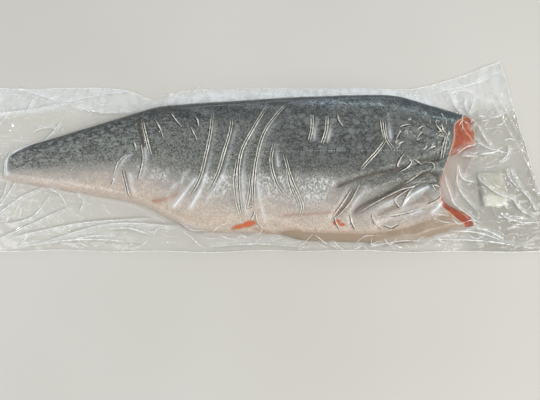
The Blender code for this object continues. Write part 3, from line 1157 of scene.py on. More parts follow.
@dataclass
class SharedGroups:
    """Builds each shared shader group once."""

    made: dict[Shared, NodeTree] = field(default_factory=dict)
    plate_warp: float = 0.0022
    plate_warp_scale: float = 260.0

    def start(self, kind: Shared, inputs: Mapping[str, float], outputs: Sequence[str]) -> tuple[Wiring, Any]:
        """Opens a new group.

        Args:
            kind: which group it is.
            inputs: the number inputs beside its Vector, with their defaults.
            outputs: the names of its number outputs.

        Returns:
            Its wiring and the outputs of its group input.
        """
        tree = bpy.data.node_groups.new(kind.value, "ShaderNodeTree")
        tree.interface.new_socket("Vector", in_out="INPUT", socket_type="NodeSocketVector")
        for name, default in inputs.items():
            socket = tree.interface.new_socket(name, in_out="INPUT", socket_type="NodeSocketFloat")
            socket.default_value = default
        for name in outputs:
            tree.interface.new_socket(name, in_out="OUTPUT", socket_type="NodeSocketFloat")
        self.made[kind] = tree
        wires = Wiring(tree)
        given = wires.node("NodeGroupInput").outputs
        wires.where = given["Vector"]
        return wires, given

    def crinkle(self) -> None:
        """Thin wandering crest lines, as in creased film."""
        sizes = {"Scale": 60.0, "Sharpness": 8.0, "Wander": 0.5}
        wires, given = self.start(Shared.CRINKLE, sizes, ["Height"])
        noise = wires.noise(given["Scale"], 2.5, Distortion=given["Wander"])
        crest = wires.crest_lines(noise, given["Sharpness"])
        wires.node("NodeGroupOutput", {"Height": wires.times(crest, crest)})

    def mottle(self) -> None:
        """Soft-edged blotches of uneven size."""
        sizes = {"Scale": 120.0, "Level": 0.55, "Softness": 0.08}
        wires, given = self.start(Shared.MOTTLE, sizes, ["Mask"])
        over = wires.less(wires.noise(given["Scale"], 4.0, 0.62), given["Level"])
        mask = wires.plus(wires.math("DIVIDE", over, given["Softness"]), 0.5, clamp=True)
        wires.node("NodeGroupOutput", {"Mask": mask})

    def plates(self) -> None:
        """Uneven plates with dark seams: the seams, and how pale each plate is."""
        wires, given = self.start(Shared.PLATES, {"Scale": 190.0, "Seam": 0.12}, ["Seams", "Paleness"])
        inputs = {"Vector": wires.where, "Scale": self.plate_warp_scale, "Detail": 2.0}
        warp = wires.node("ShaderNodeTexNoise", inputs).outputs
        shift = {0: warp["Color"], "Scale": self.plate_warp}
        bent = wires.node("ShaderNodeVectorMath", shift, operation="SCALE").outputs[0]
        place = wires.node("ShaderNodeVectorMath", {0: wires.where, 1: bent}, operation="ADD").outputs[0]
        inputs = {"Vector": place, "Scale": given["Scale"]}
        edge = wires.node("ShaderNodeTexVoronoi", inputs, feature="DISTANCE_TO_EDGE").outputs["Distance"]
        width = wires.times(given["Seam"], wires.step(warp[0], 0.35, 0.65, 0.4, 1.8))
        seams = wires.less(1.0, wires.math("DIVIDE", edge, width), clamp=True)
        tint = wires.node("ShaderNodeTexVoronoi", inputs).outputs["Color"]
        pale = wires.node("ShaderNodeSeparateColor", {0: tint}).outputs[0]
        wires.node("NodeGroupOutput", {"Seams": seams, "Paleness": pale})

    def moist(self) -> None:
        """Uneven wetness: a roughness that drops in the wet places."""
        wires, given = self.start(Shared.MOIST, {"Dry": 0.5, "Wet": 0.2, "Scale": 90.0}, ["Roughness"])
        share = wires.step(wires.noise(given["Scale"], 3.0), 0.40, 0.62)
        span = wires.less(given["Wet"], given["Dry"])
        wires.node("NodeGroupOutput", {"Roughness": wires.plus(given["Dry"], wires.times(share, span))})

    def build(self) -> Groups:
        """Makes all the groups.

        Returns:
            The groups by kind.
        """
        for make in (self.crinkle, self.mottle, self.plates, self.moist):
            make()
        return self.made


class Finish:
    """A material whose textures read the piece's own places."""

    name: str

    def add_nodes(self, wires: Wiring) -> None:
        """Adds what makes the finish its own."""
        raise NotImplementedError

    def build(self, groups: Groups) -> Material:
        """Makes the material.

        Args:
            groups: the shared groups.

        Returns:
            The material.
        """
        material = bpy.data.materials.new(self.name)
        material.use_nodes = True
        wires = Wiring(material.node_tree, groups=groups)
        wires.where = wires.node("ShaderNodeTexCoord").outputs["Object"]
        self.add_nodes(wires)
        return material


@dataclass(frozen=True)
class FishFinish(Finish):
    """Skin from dark back to pale belly, and wet orange flesh where it is cut."""

    name: str = "salmon_skin_and_flesh"
    tones: tuple[tuple[float, Colour], ...] = (
        # The back edge's darkest tone is the dark back skin, deepened with painted shade where it curves down.
        (0.00, paint(30, 35, 39)),
        (0.05, paint(52, 57, 60)),
        (0.16, paint(74, 77, 77)),
        (0.27, paint(103, 106, 103)),
        (0.44, paint(108, 111, 106)),
        (0.56, paint(124, 125, 120)),
        (0.66, paint(170, 167, 161)),
        (0.76, paint(196, 188, 180)),
        (0.90, paint(221, 207, 194)),
        (1.00, paint(212, 193, 175)),
    )
    speck: Colour = paint(34, 37, 37)
    dusk: Colour = paint(52, 55, 54)
    plate: Colour = paint(128, 134, 132)
    fleck: Colour = paint(164, 169, 166)
    # The silver scales' own colour; its near-white flecks also paint the scales' glints.
    silver: Colour = paint(240, 242, 242)
    # Painted highlight along the back's ridge; ridge_shade deepens the dark back skin beyond it with painted
    # shade where the back curves away.
    ridge_sheen: Colour = paint(150, 168, 178)
    ridge_shade: Colour = paint(48, 61, 70)
    # Painted shade in the grooves of the folds.
    groove_shade: Colour = paint(70, 58, 44)
    # Painted shade on the folds' facets that turn from the light.
    facet_shade: Colour = paint(142, 124, 107)
    rust: Colour = paint(176, 120, 92)
    # Painted shade in the dark lines beside the flank crests.
    foot: Colour = paint(38, 33, 24)
    # The flap's flesh edge: its own beige, darkened with painted shade where it slopes away.
    shaded_flap_edge: Colour = paint(168, 148, 126)
    skin_rim: Colour = paint(214, 178, 160)
    flesh: Colour = paint(188, 92, 44)
    flesh_deep: Colour = paint(148, 58, 24)
    flesh_core: Colour = paint(152, 54, 20)
    flesh_pale: Colour = paint(212, 134, 88)
    spot: Colour = paint(212, 112, 66)
    membrane: Colour = paint(232, 186, 160)
    plate_kinds: tuple[tuple[str, float, float], ...] = (("plates", 0.8, 185.0), ("ovals", 0.75, 118.0))
    subsurface: float = 0.05
    subsurface_radius: Triple = (0.005, 0.002, 0.001)
    subsurface_scale: float = 0.5

    @staticmethod
    def tinted(wires: Wiring, colour: Socket, marks: Sequence[tuple[str, float, Colour]]) -> Socket:
        """A colour with marks laid on it one after the other.

        Args:
            wires: the material's wiring.
            colour: the colour below.
            marks: the attribute that places each mark, its strength and its colour.

        Returns:
            The marked colour.
        """
        for name, strength, tint in marks:
            colour = wires.blend(wires.times(wires.attribute(name), strength), colour, tint)
        return colour

    def skin_base(self, wires: Wiring, tone: Socket) -> Socket:
        """The run of colour from the back to the belly, with its grain.

        Args:
            wires: the material's wiring.
            tone: the place on that run.

        Returns:
            The colour.
        """
        drift = wires.times(wires.less(wires.noise(60.0, 3.0), 0.5), 0.11)
        colour = wires.ramp(wires.plus(tone, drift), self.tones)
        # Darker skin patches, then painted shade beyond the back's ridge where it curves away, then a broken
        # painted highlight along the ridge.
        colour = self.tinted(wires, colour, (("dark", 0.5, self.dusk), ("blue", 0.85, self.ridge_shade)))
        broken = wires.step(wires.noise(240.0, 3.0), 0.38, 0.58, 0.25, 0.9)
        colour = wires.blend(wires.times(wires.attribute("ridge_sheen"), broken), colour, self.ridge_sheen)
        grain = wires.step(wires.noise(600.0, 3.0, 0.72), 0.39, 0.61, -0.76, 1.05)
        coarse = wires.step(wires.noise(190.0), 0.38, 0.62, -0.18, 0.18)
        weight = wires.step(tone, 0.45, 0.70, 1.0, 0.14)
        level = wires.plus(1.0, wires.times(wires.plus(grain, coarse), weight))
        return wires.blend(1.0, colour, level, "MULTIPLY")

    def plated(self, wires: Wiring, colour: Socket) -> Socket:
        """Pale plates between dark seams, and the blotches of the tail, where the skin shows them.

        Args:
            wires: the material's wiring.
            colour: the colour below.

        Returns:
            The colour with them.
        """
        for name, stretch, scale in self.plate_kinds:
            mask = wires.attribute(name)
            plates = wires.group(Shared.PLATES, wires.stretched((stretch, 1.0, 1.0), 0.25), Scale=scale)
            pale = wires.times(wires.step(plates["Paleness"], 0.30, 0.90), mask, 0.90)
            colour = wires.blend(pale, colour, self.plate)
            colour = wires.blend(wires.times(plates["Seams"], mask, 0.85), colour, self.speck)
        spots = wires.mottle(300.0, 0.54, 0.08, wires.stretched((0.55, 1.0, 1.0), 0.28))
        blots = wires.mottle(170.0, 0.53, 0.10, wires.stretched((0.7, 1.0, 1.0), 0.3))
        tail = wires.attribute("tail_flecks")
        colour = wires.blend(wires.times(blots, tail, 0.60), colour, self.dusk)
        return wires.blend(wires.times(spots, tail, 0.85), colour, self.fleck)

    def flecked(self, wires: Wiring, tone: Socket, colour: Socket) -> Socket:
        """Dark specks on the back, silver flecks where grey meets silver, partly painted glints, fine rows on
        the belly.

        Args:
            wires: the material's wiring.
            tone: the place between back and belly.
            colour: the colour below.

        Returns:
            The colour with them.
        """
        specks = wires.times(wires.mottle(480.0, 0.56, 0.05), wires.step(tone, 0.30, 0.12, 0.15, 0.85))
        colour = wires.blend(specks, colour, self.speck)
        dashes = wires.mottle(400.0, 0.53, 0.09, wires.stretched((1.5, 0.9, 1.0)))
        patch = wires.step(wires.plus(wires.noise(42.0), wires.attribute("silver")), 0.66, 0.90)
        band = wires.times(wires.step(tone, 0.56, 0.64), wires.step(tone, 0.82, 0.72))
        colour = wires.blend(wires.times(dashes, patch, band, 0.92), colour, self.silver)
        rows = wires.cells(520.0, 0.35, wires.stretched((1.0, 1.25, 1.0), 0.5))
        level = wires.step(rows, 0.15, 0.60, 1.08, 0.86)
        return wires.blend(wires.step(tone, 0.50, 0.68), colour, wires.blend(1.0, colour, level, "MULTIPLY"))

    def skin_colour(self, wires: Wiring) -> Socket:
        """Colour of the whole skin.

        Args:
            wires: the material's wiring.

        Returns:
            The colour.
        """
        tone = wires.attribute("tone")
        colour = self.flecked(wires, tone, self.plated(wires, self.skin_base(wires, tone)))
        # Painted shade on the fold facets and on the flap's flesh edge; the rusty lines are the flesh's own
        # colour.
        marks = (("facet_shade", 0.65, self.facet_shade), ("rust", 0.75, self.rust), ("flap", 1.0, self.shaded_flap_edge))
        return self.tinted(wires, colour, marks)

    def flesh_colour(self, wires: Wiring) -> Socket:
        """Colour of the cut flesh: deep and pale streaks, fat lines and membranes.

        Args:
            wires: the material's wiring.

        Returns:
            The colour.
        """
        base = wires.blend(wires.step(wires.noise(170.0, 4.0), 0.35, 0.65), self.flesh_deep, self.flesh)
        streak = wires.mottle(260.0, 0.56, 0.10, wires.stretched((0.5, 1.6, 1.0), 0.6))
        colour = wires.blend(wires.times(streak, 0.50), base, self.flesh_pale)
        past = wires.attribute("past")
        core = wires.times(wires.step(past, 0.001, 0.005), wires.step(past, 0.011, 0.020, 1.0, 0.0))
        colour = wires.blend(wires.times(core, 0.60), colour, self.flesh_core)
        return self.tinted(wires, colour, (("fat", 0.8, self.membrane),))

    def add_nodes(self, wires: Wiring) -> None:
        """The whole fish, switched between skin and flesh by the distance past the collar.

        Args:
            wires: the material's wiring.
        """
        ragged = wires.less(wires.noise(350.0, 3.0), 0.5)
        past = wires.plus(wires.attribute("past"), wires.times(ragged, 0.0014))
        bare = wires.plus(wires.attribute("bare"), wires.times(ragged, 0.5))
        is_flesh = wires.math("MAXIMUM", wires.step(past, 0.0, 0.0004), wires.step(bare, 0.38, 0.60))
        rim = wires.times(wires.step(past, -0.0020, -0.0006), 0.8)
        skin = wires.blend(rim, self.skin_colour(wires), self.skin_rim)
        skin = wires.blend(wires.step(bare, 0.10, 0.42, 0.0, 0.6), skin, self.rust)
        flesh = wires.blend(wires.step(bare, 0.10, 0.40), self.flesh_colour(wires), self.spot)
        colour = wires.blend(is_flesh, skin, flesh)
        # Painted shade in the folds' grooves and in the dark lines beside the flank crests.
        colour = self.tinted(wires, colour, (("groove_shade", 0.85, self.groove_shade), ("foot", 0.60, self.foot)))
        net = wires.cells(360.0, 0.55, wires.stretched((0.75, 1.15, 1.0), 0.5))
        wires.dress({
            "Base Color": colour,
            "Roughness": wires.group(Shared.MOIST, Dry=0.5, Wet=0.3, Scale=120.0)[0],
            "Subsurface Weight": self.subsurface,
            "Subsurface Radius": self.subsurface_radius,
            "Subsurface Scale": self.subsurface_scale,
            "Normal": wires.bump(wires.plus(net, wires.noise(900.0)), 0.35, 0.0003),
        })


@dataclass(frozen=True)
class FilmFinish(Finish):
    """Clear vacuum film: bright at its slopes, a faint cloud, painted pale reflection bands, painted shade, and
    crinkle lines.
    """

    name: str = "vacuum_film"
    tint: Colour = (0.985, 0.985, 0.98, 1.0)
    shaded_tint: Colour = (0.58, 0.57, 0.53, 1.0)
    cloud: Colour = (0.93, 0.94, 0.93, 1.0)
    cloud_roughness: float = 0.35
    # Colour of the film's painted reflection bands.
    sheen: Colour = paint(246, 250, 253)
    gloss: Colour = (1.0, 1.0, 0.99, 1.0)
    roughness: float = 0.08
    index: float = 1.5
    haze: float = 0.015
    slack_haze: float = 0.13
    calming: float = 0.85
    shadow_clearing: float = 0.93

    def relief(self, wires: Wiring, slack: Socket) -> Socket:
        """The fine crinkles: long ones in the slack film, short ones where it bunches.

        Args:
            wires: the material's wiring.
            slack: how slack the film is.

        Returns:
            Their height.
        """
        turned = wires.stretched((0.35, 1.0, 1.0), 0.12)
        long_lines = wires.group(Shared.CRINKLE, turned, Scale=55.0, Sharpness=16.0, Wander=0.8)[0]
        short_lines = wires.group(Shared.CRINKLE, Scale=150.0, Sharpness=9.0, Wander=1.2)[0]
        short_lines = wires.times(short_lines, wires.attribute("crinkle"))
        height = wires.plus(wires.times(long_lines, slack), short_lines)
        return wires.plus(height, wires.times(wires.noise(70.0), slack, 0.7))

    def add_nodes(self, wires: Wiring) -> None:
        """The film, which reads where it is slack, lifted or crinkled.

        Args:
            wires: the material's wiring.
        """
        nodes = wires.tree.nodes
        slack = wires.attribute("slack")
        normal = wires.bump(self.relief(wires, slack), 0.6, 0.0010)
        fresnel = wires.node("ShaderNodeFresnel", {"IOR": self.index, "Normal": normal}).outputs[0]
        calm = wires.less(1.0, wires.times(wires.attribute("steep"), self.calming))
        fresnel = wires.times(fresnel, calm, wires.step(slack, 0.0, 1.0, 0.7, 1.0))
        gloss = {"Color": self.gloss, "Roughness": self.roughness, "Normal": normal}
        mirror = wires.node("ShaderNodeBsdfGlossy", gloss).outputs[0]
        # The sheen attribute paints reflections as a pale haze; the shade attribute paints shade as a darker
        # clear tint.
        uneven = wires.noise(130.0, 3.0, where=wires.stretched((1.0, 0.5, 1.0)))
        sheen = wires.times(wires.attribute("sheen"), wires.step(uneven, 0.36, 0.60, 0.62, 1.0))
        colour = wires.blend(wires.step(sheen, 0.0, 0.2), self.cloud, self.sheen)
        wires.dress({"Base Color": colour, "Roughness": self.cloud_roughness})
        clear_tint = wires.blend(wires.attribute("shade"), self.tint, self.shaded_tint)
        clear = wires.node("ShaderNodeBsdfTransparent", {"Color": clear_tint}).outputs[0]
        haze = wires.plus(wires.times(slack, calm, self.slack_haze), self.haze)
        haze = wires.plus(haze, sheen, clamp=True)
        shadow = wires.times(wires.node("ShaderNodeLightPath").outputs["Is Shadow Ray"], self.shadow_clearing)
        whole = clear
        for share, over in ((haze, nodes["Principled BSDF"].outputs[0]), (fresnel, mirror), (shadow, clear)):
            whole = wires.node("ShaderNodeMixShader", {0: share, 1: whole, 2: over}).outputs[0]
        wires.feed(nodes["Material Output"].inputs["Surface"], whole)


@dataclass(frozen=True)
class CrestFinish(Finish):
    """Film pinched into a crest: thicker, paler and glossier than the sheet, its pale colour also a painted
    glint; the dark looks are painted shade beside the crests.
    """

    name: str
    colour: Colour
    least: float
    most: float
    low_share: float = 1.0
    low_zone: Place = (-0.058, -0.030)
    scale: float = 70.0
    beads: float = 380.0
    roughness: float = 0.14
    specular: float = 0.8

    def add_nodes(self, wires: Wiring) -> None:
        """The crest, whose cloudiness varies along it and breaks up into beads.

        Args:
            wires: the material's wiring.
        """
        across = wires.node("ShaderNodeSeparateXYZ", {0: wires.where}).outputs["Y"]
        patch = wires.mottle(self.scale, 0.46, 0.25)
        beads = wires.step(wires.mottle(self.beads, 0.44, 0.20), 0.0, 1.0, 0.4, 1.0)
        share = wires.plus(wires.times(patch, beads, self.most - self.least), self.least)
        share = wires.times(share, wires.step(across, *self.low_zone, self.low_share, 1.0))
        wires.dress({
            "Alpha": share,
            "Base Color": self.colour,
            "Roughness": self.roughness,
            "Specular IOR Level": self.specular,
        })


@dataclass(frozen=True)
class PadFinish(Finish):
    """Pale soft paper-like cover with a fine emboss and a painted shadow along its left side."""

    name: str = "pad_cover"
    colour: Colour = paint(202, 200, 187)
    shade: Colour = paint(176, 174, 161)
    # Painted shadow along the pad's left side.
    side: Colour = paint(106, 98, 86)
    low: Colour = paint(226, 226, 216)

    def add_nodes(self, wires: Wiring) -> None:
        """The pad's cover.

        Args:
            wires: the material's wiring.
        """
        colour = wires.blend(wires.times(wires.mottle(120.0, 0.5, 0.3), 0.6), self.colour, self.shade)
        colour = wires.blend(wires.attribute("low"), colour, self.low)
        wires.dress({
            "Base Color": wires.blend(wires.attribute("side"), colour, self.side),
            "Roughness": wires.group(Shared.MOIST, Dry=0.7, Wet=0.5, Scale=150.0)[0],
            "Normal": wires.bump(wires.cells(900.0, 0.15), 0.4, 0.0003),
        })


@dataclass(frozen=True)
class ScaleFinish(Finish):
    """Pale pore scales of the lateral line."""

    name: str = "line_scales"
    colour: Colour = paint(222, 226, 224)
    shade: Colour = paint(150, 154, 152)
    roughness: float = 0.35

    def add_nodes(self, wires: Wiring) -> None:
        """The pore scales, unevenly pale."""
        colour = wires.blend(wires.mottle(120.0, 0.5, 0.2), self.colour, self.shade)
        wires.dress({"Base Color": colour, "Roughness": self.roughness})


@dataclass(frozen=True)
class FloorFinish(Finish):
    """Plain pale floor that drifts slightly in shade."""

    name: str = "pale_floor"
    colour: Colour = paint(216, 213, 206)
    shade: Colour = paint(210, 207, 199)
    roughness: float = 0.85

    def add_nodes(self, wires: Wiring) -> None:
        """The floor, with its drift in shade."""
        colour = wires.blend(wires.step(wires.noise(3.0), 0.3, 0.7), self.colour, self.shade)
        wires.dress({"Base Color": colour, "Roughness": self.roughness})


@dataclass
class Tree:
    """A Geometry Nodes tree that takes geometry, named inputs and a finish."""

    name: str
    kinds: Mapping[str, str]

    def open(self) -> tuple[Wiring, Any]:
        """Starts the tree.

        Returns:
            Its wiring and the outputs of its group input.
        """
        tree = bpy.data.node_groups.new(self.name, "GeometryNodeTree")
        for label, kind in {"Geometry": "Geometry", **self.kinds, "Finish": "Material"}.items():
            tree.interface.new_socket(label, in_out="INPUT", socket_type="NodeSocket" + kind)
        tree.interface.new_socket("Geometry", in_out="OUTPUT", socket_type="NodeSocketGeometry")
        wires = Wiring(tree)
        wires.where = wires.node("GeometryNodeInputPosition").outputs[0]
        return wires, wires.node("NodeGroupInput").outputs

    @staticmethod
    def close(wires: Wiring, geometry: Socket, finish: Socket) -> NodeTree:
        """Realizes the instances, sets the material and ends the tree.

        Args:
            wires: the tree's wiring.
            geometry: what the tree has made.
            finish: the material.

        Returns:
            The whole tree.
        """
        smooth = wires.node("GeometryNodeSetShadeSmooth", {"Geometry": geometry})
        whole = wires.node("GeometryNodeRealizeInstances", {"Geometry": smooth.outputs[0]})
        dressed = wires.node("GeometryNodeSetMaterial", {"Geometry": whole.outputs[0], "Material": finish})
        wires.node("NodeGroupOutput", {"Geometry": dressed.outputs[0]})
        return wires.tree

    @staticmethod
    def apply(source: Object, tree: NodeTree, name: str, values: Mapping[str, Any]) -> Object:
        """Runs a tree on an object.

        Args:
            source: the object that the tree starts from, removed afterwards.
            tree: the tree.
            name: the name of the result.
            values: what each named input is set to.

        Returns:
            The result as a plain mesh object.
        """
        modifier = source.modifiers.new(tree.name, "NODES")
        modifier.node_group = tree
        for item in tree.interface.items_tree:
            if getattr(item, "in_out", "") == "INPUT" and item.name in values:
                modifier[item.identifier] = values[item.name]
        bpy.context.view_layer.update()
        seen = source.evaluated_get(bpy.context.evaluated_depsgraph_get())
        mesh = bpy.data.meshes.new_from_object(seen)
        mesh.name = name
        bpy.data.objects.remove(source, do_unlink=True)
        return MeshKit.place(name, mesh)


@dataclass(frozen=True)
class CrestSweep:
    """Geometry Nodes that sweep a low rounded crest along guide lines."""

    sides: int = 8
    beads: float = 330.0

    def tree(self) -> NodeTree:
        """The node tree, with its sizes and material as named inputs.

        Returns:
            The tree.
        """
        kinds = {"Half Width": "Float", "Height": "Float", "Beads": "Float", "Sides": "Int"}
        wires, given = Tree("film crest", kinds).open()
        upright = wires.node("GeometryNodeSetCurveNormal", {"Curve": given["Geometry"]}, mode="Z_UP")
        beads = wires.step(wires.noise(given["Beads"]), 0.34, 0.66, 0.55, 1.45)
        swell = wires.times(wires.node("GeometryNodeInputRadius").outputs[0], beads)
        ring = wires.node("GeometryNodeCurvePrimitiveCircle", {"Resolution": given["Sides"], "Radius": 1.0})
        size = wires.node("ShaderNodeCombineXYZ", {"X": given["Half Width"], "Y": given["Height"], "Z": 1.0})
        profile = wires.node("GeometryNodeTransform", {"Geometry": ring.outputs[0], "Scale": size.outputs[0]})
        inputs = {"Curve": upright.outputs[0], "Profile Curve": profile.outputs[0], "Scale": swell}
        swept = wires.node("GeometryNodeCurveToMesh", {**inputs, "Fill Caps": True})
        return Tree.close(wires, swept.outputs[0], given["Finish"])


@dataclass
class FilmCrinkle:
    """Geometry Nodes that raise fine wandering crinkles on the film by its own slack."""

    height: float = 0.0006
    scale: float = 62.0
    sharpness: float = 11.0
    seed: float = 3.0

    def tree(self) -> NodeTree:
        """The node tree, with its sizes and material as named inputs.

        Returns:
            The tree.
        """
        kinds = dict.fromkeys(("Height", "Scale", "Sharpness", "Seed"), "Float")
        wires, given = Tree("film crinkle", kinds).open()
        flat = wires.node("ShaderNodeVectorMath", {0: wires.where, 1: (0.55, 1.0, 0.0)}, operation="MULTIPLY")
        inputs = {"Vector": flat.outputs[0], "W": given["Seed"], "Scale": given["Scale"], "Detail": 2.0}
        noise = wires.node("ShaderNodeTexNoise", inputs, noise_dimensions="4D").outputs[0]
        crest = wires.crest_lines(noise, given["Sharpness"])
        loose = wires.node("GeometryNodeInputNamedAttribute", {"Name": "loose"}, data_type="FLOAT").outputs[0]
        lift = wires.node("ShaderNodeCombineXYZ", {"Z": wires.times(crest, crest, loose, given["Height"])})
        inputs = {"Geometry": given["Geometry"], "Offset": lift.outputs[0]}
        moved = wires.node("GeometryNodeSetPosition", inputs)
        return Tree.close(wires, moved.outputs[0], given["Finish"])

    def build(self, film: Object, finish: Material) -> Object:
        """Raises the crinkles and returns the film as a plain mesh."""
        values = {"Height": self.height, "Scale": self.scale, "Sharpness": self.sharpness}
        return Tree.apply(film, self.tree(), "pouch_film", {**values, "Seed": self.seed, "Finish": finish})


@dataclass
class Fish:
    """The fillet itself: skin, cut faces and flat flesh side as one closed body."""

    form: FishForm
    columns: int = 640
    rows: int = 150
    foot_drop: float = 0.0002
    foot_past: float = 0.01
    tone_limit: float = 0.96

    @staticmethod
    def flap_reach(along: Field) -> Field:
        """How far in from the belly edge the skin stops, wider towards the head."""
        return 0.0090 * rise(along, 0.56, 0.63) + 0.0105 * rise(along, 0.74, 0.92)

    def flap(self, x: Field, y: Field) -> tuple[Field, Field]:
        """The smooth flesh edge that stands below the skin along the belly flap, which the finish darkens with
        painted shade.

        Args:
            x, y: places on the table.

        Returns:
            1 on that edge, and 1 on the thin rusty line between it and the skin.
        """
        along = self.form.along(x)
        inset = y - self.form.belly_edge(along)
        reach = self.flap_reach(along)
        edge = fall(inset, reach - 0.0026, reach) * rise(along, 0.56, 0.60)
        return edge, hump(inset, reach, 0.0007) * rise(along, 0.56, 0.62) * fall(along, 0.93, 0.97)

    def tints(self, x: Field, y: Field) -> dict[str, Field]:
        """What the finish reads.

        Args:
            x, y: places on the table.

        Returns:
            The numbers at those places by name.
        """
        along, across = self.form.shares(x, y)
        upper = rise(across, 0.07, 0.15) * fall(across, 0.50, 0.60)
        ridge_gap = RIDGE.lines[0].measure(x, y)[0]
        ovals = hump(x, 0.168, 0.036) * hump(y, 0.012, 0.024)
        dark_run = rise(along, 0.52, 0.64) * fall(along, 0.78, 0.90)
        dark = dark_run * rise(across, 0.22, 0.30) * fall(across, 0.52, 0.60)
        dark_shoulder = rise(along, 0.20, 0.28) * fall(along, 0.40, 0.52) * fall(across, 0.12, 0.20)
        upper_gap = GROOVES.lines[0].measure(x, y)[0]
        tone = across - 0.055 * rise(x, 0.085, 0.115) * rise(-upper_gap, -0.001, 0.006)
        tone -= 0.07 * fall(along, 0.04, 0.22)
        wedge = 0.85 * WEDGE.band(x, y, grow=0.4)
        rust_line = np.where(x < 0.026, 0.75, 0.60) * RUST.band(x, y)
        # Painted shade: dark lines beside the flank crests, fainter towards the belly.
        foot = np.maximum(FLANK.band(x, y, 0.0009, 0.0024), 0.5 * FLANK.band(x, y, 0.0022))
        # The flap's flesh edge, which the finish darkens with painted shade, and its rusty line.
        flap, flap_line = self.flap(x, y)
        # Where silver flecks gather; their near-white is partly painted glints.
        silver = 0.34 * rise(along, 0.32, 0.42) * fall(along, 0.68, 0.76) + 0.18 * hump(along, 0.32, 0.05)
        return {
            "past": x - self.form.collar_x(y),
            "tone": np.clip(tone, 0.0, self.tone_limit),
            "dark": np.maximum(dark, dark_shoulder),
            "plates": upper * rise(along, 0.52, 0.66) * (1.0 - ovals) * fall(across, 0.42, 0.56),
            "ovals": upper * ovals,
            "tail_flecks": upper * (0.8 - 0.55 * rise(along, 0.14, 0.50)),
            "silver": silver,
            # Painted highlight along the back's ridge, and painted shade beyond it towards the back edge near
            # the head.
            "ridge_sheen": RIDGE.band(x, y) + 0.45 * RIDGE.band(x, y, 0.0042),
            "blue": rise(along, 0.58, 0.70) * rise(ridge_gap, -0.003, 0.002),
            # Painted shade along the folds' grooves.
            "groove_shade": GROOVES.band(x, y, 0.0018),
            # Painted shade on the fold facets.
            "facet_shade": FACETS.band(x, y),
            "rust": np.max((wedge, rust_line, 0.5 * flap_line), axis=0),
            "foot": foot * (0.35 + 0.65 * rise(y, -0.055, -0.030)),
            "bare": np.max([spot.share(x, y) for spot in BARE_SPOTS], axis=0),
            "flap": flap,
            "fat": MEMBRANES.band(x, y),
        }

    def build(self, material: Material) -> Object:
        """Makes the body and the numbers that its finish reads.

        Args:
            material: the finish.

        Returns:
            The fillet, its underside all flesh.
        """
        x, y = self.form.grid(self.columns, self.rows)
        foot_z = self.form.base_z - self.foot_drop
        piece = MeshKit.closed_sheet("salmon_fillet", x, y, self.form.top(x, y), foot_z)
        MeshKit.attributes(piece, self.tints(x, y), {"past": self.foot_past})
        piece.data.materials.append(material)
        return piece


@dataclass
class LateralLine:
    """The row of pore scales along the flank, set out on a path by Geometry Nodes."""

    pitch: float = 0.0028
    scale_length: float = 0.0014
    scale_width: float = 0.0009
    scale_height: float = 0.00048
    seed: int = 7
    ends: Place = (-0.230, 0.196)
    points: int = 220
    lift: float = 0.00004

    def path(self, fish: FishForm) -> Object:
        """Guide line on the skin from the tail to the collar.

        Args:
            fish: the fillet's form.

        Returns:
            The line as a curve object.
        """
        x = np.linspace(*self.ends, self.points)
        y = -0.0062 - 0.0060 * rise(-x, 0.17, 0.25) + 0.0012 * rise(x, 0.14, 0.20)
        size = 0.45 + 0.55 * rise(x, -0.04, 0.03) * fall(x, 0.14, 0.18)
        places = np.stack((x, y, fish.top(x, y) + self.lift), axis=1)
        return MeshKit.line("lateral_line_guide", [(places, size)])

    def tree(self) -> NodeTree:
        """The node tree: points at a pitch, a low scale on each.

        Returns:
            The tree.
        """
        kinds = dict.fromkeys(("Pitch", "Length", "Width", "Height"), "Float")
        wires, given = Tree("lateral line", {**kinds, "Seed": "Int"}).open()
        inputs = {"Curve": given["Geometry"], "Length": given["Pitch"]}
        points = wires.node("GeometryNodeCurveToPoints", inputs, mode="LENGTH")
        ball = wires.node("GeometryNodeMeshIcoSphere", {"Radius": 0.5, "Subdivisions": 2})
        inputs = {"X": given["Length"], "Y": given["Width"], "Z": given["Height"]}
        size = wires.node("ShaderNodeCombineXYZ", inputs).outputs[0]
        scale = wires.node("GeometryNodeTransform", {"Geometry": ball.outputs[0], "Scale": size})
        limits = {"Min": (0.6, 0.7, 0.8), "Max": (1.2, 1.2, 1.1), "Seed": given["Seed"]}
        vary = wires.node("FunctionNodeRandomValue", limits, data_type="FLOAT_VECTOR").outputs[0]
        radius = wires.node("GeometryNodeInputRadius").outputs[0]
        sized = wires.node("ShaderNodeVectorMath", {0: vary, "Scale": radius}, operation="SCALE")
        inputs = {"Points": points.outputs[0], "Instance": scale.outputs[0], "Scale": sized.outputs[0]}
        placed = wires.node("GeometryNodeInstanceOnPoints", inputs)
        return Tree.close(wires, placed.outputs[0], given["Finish"])

    def build(self, fish: FishForm, finish: Material) -> Object:
        """Sets the scales out.

        Args:
            fish: the fillet's form.
            finish: the scales' material.

        Returns:
            All the scales as one plain mesh.
        """
        sizes = {"Length": self.scale_length, "Width": self.scale_width, "Height": self.scale_height}
        values = {"Pitch": self.pitch, **sizes, "Seed": self.seed, "Finish": finish}
        return Tree.apply(self.path(fish), self.tree(), "lateral_line_scales", values)


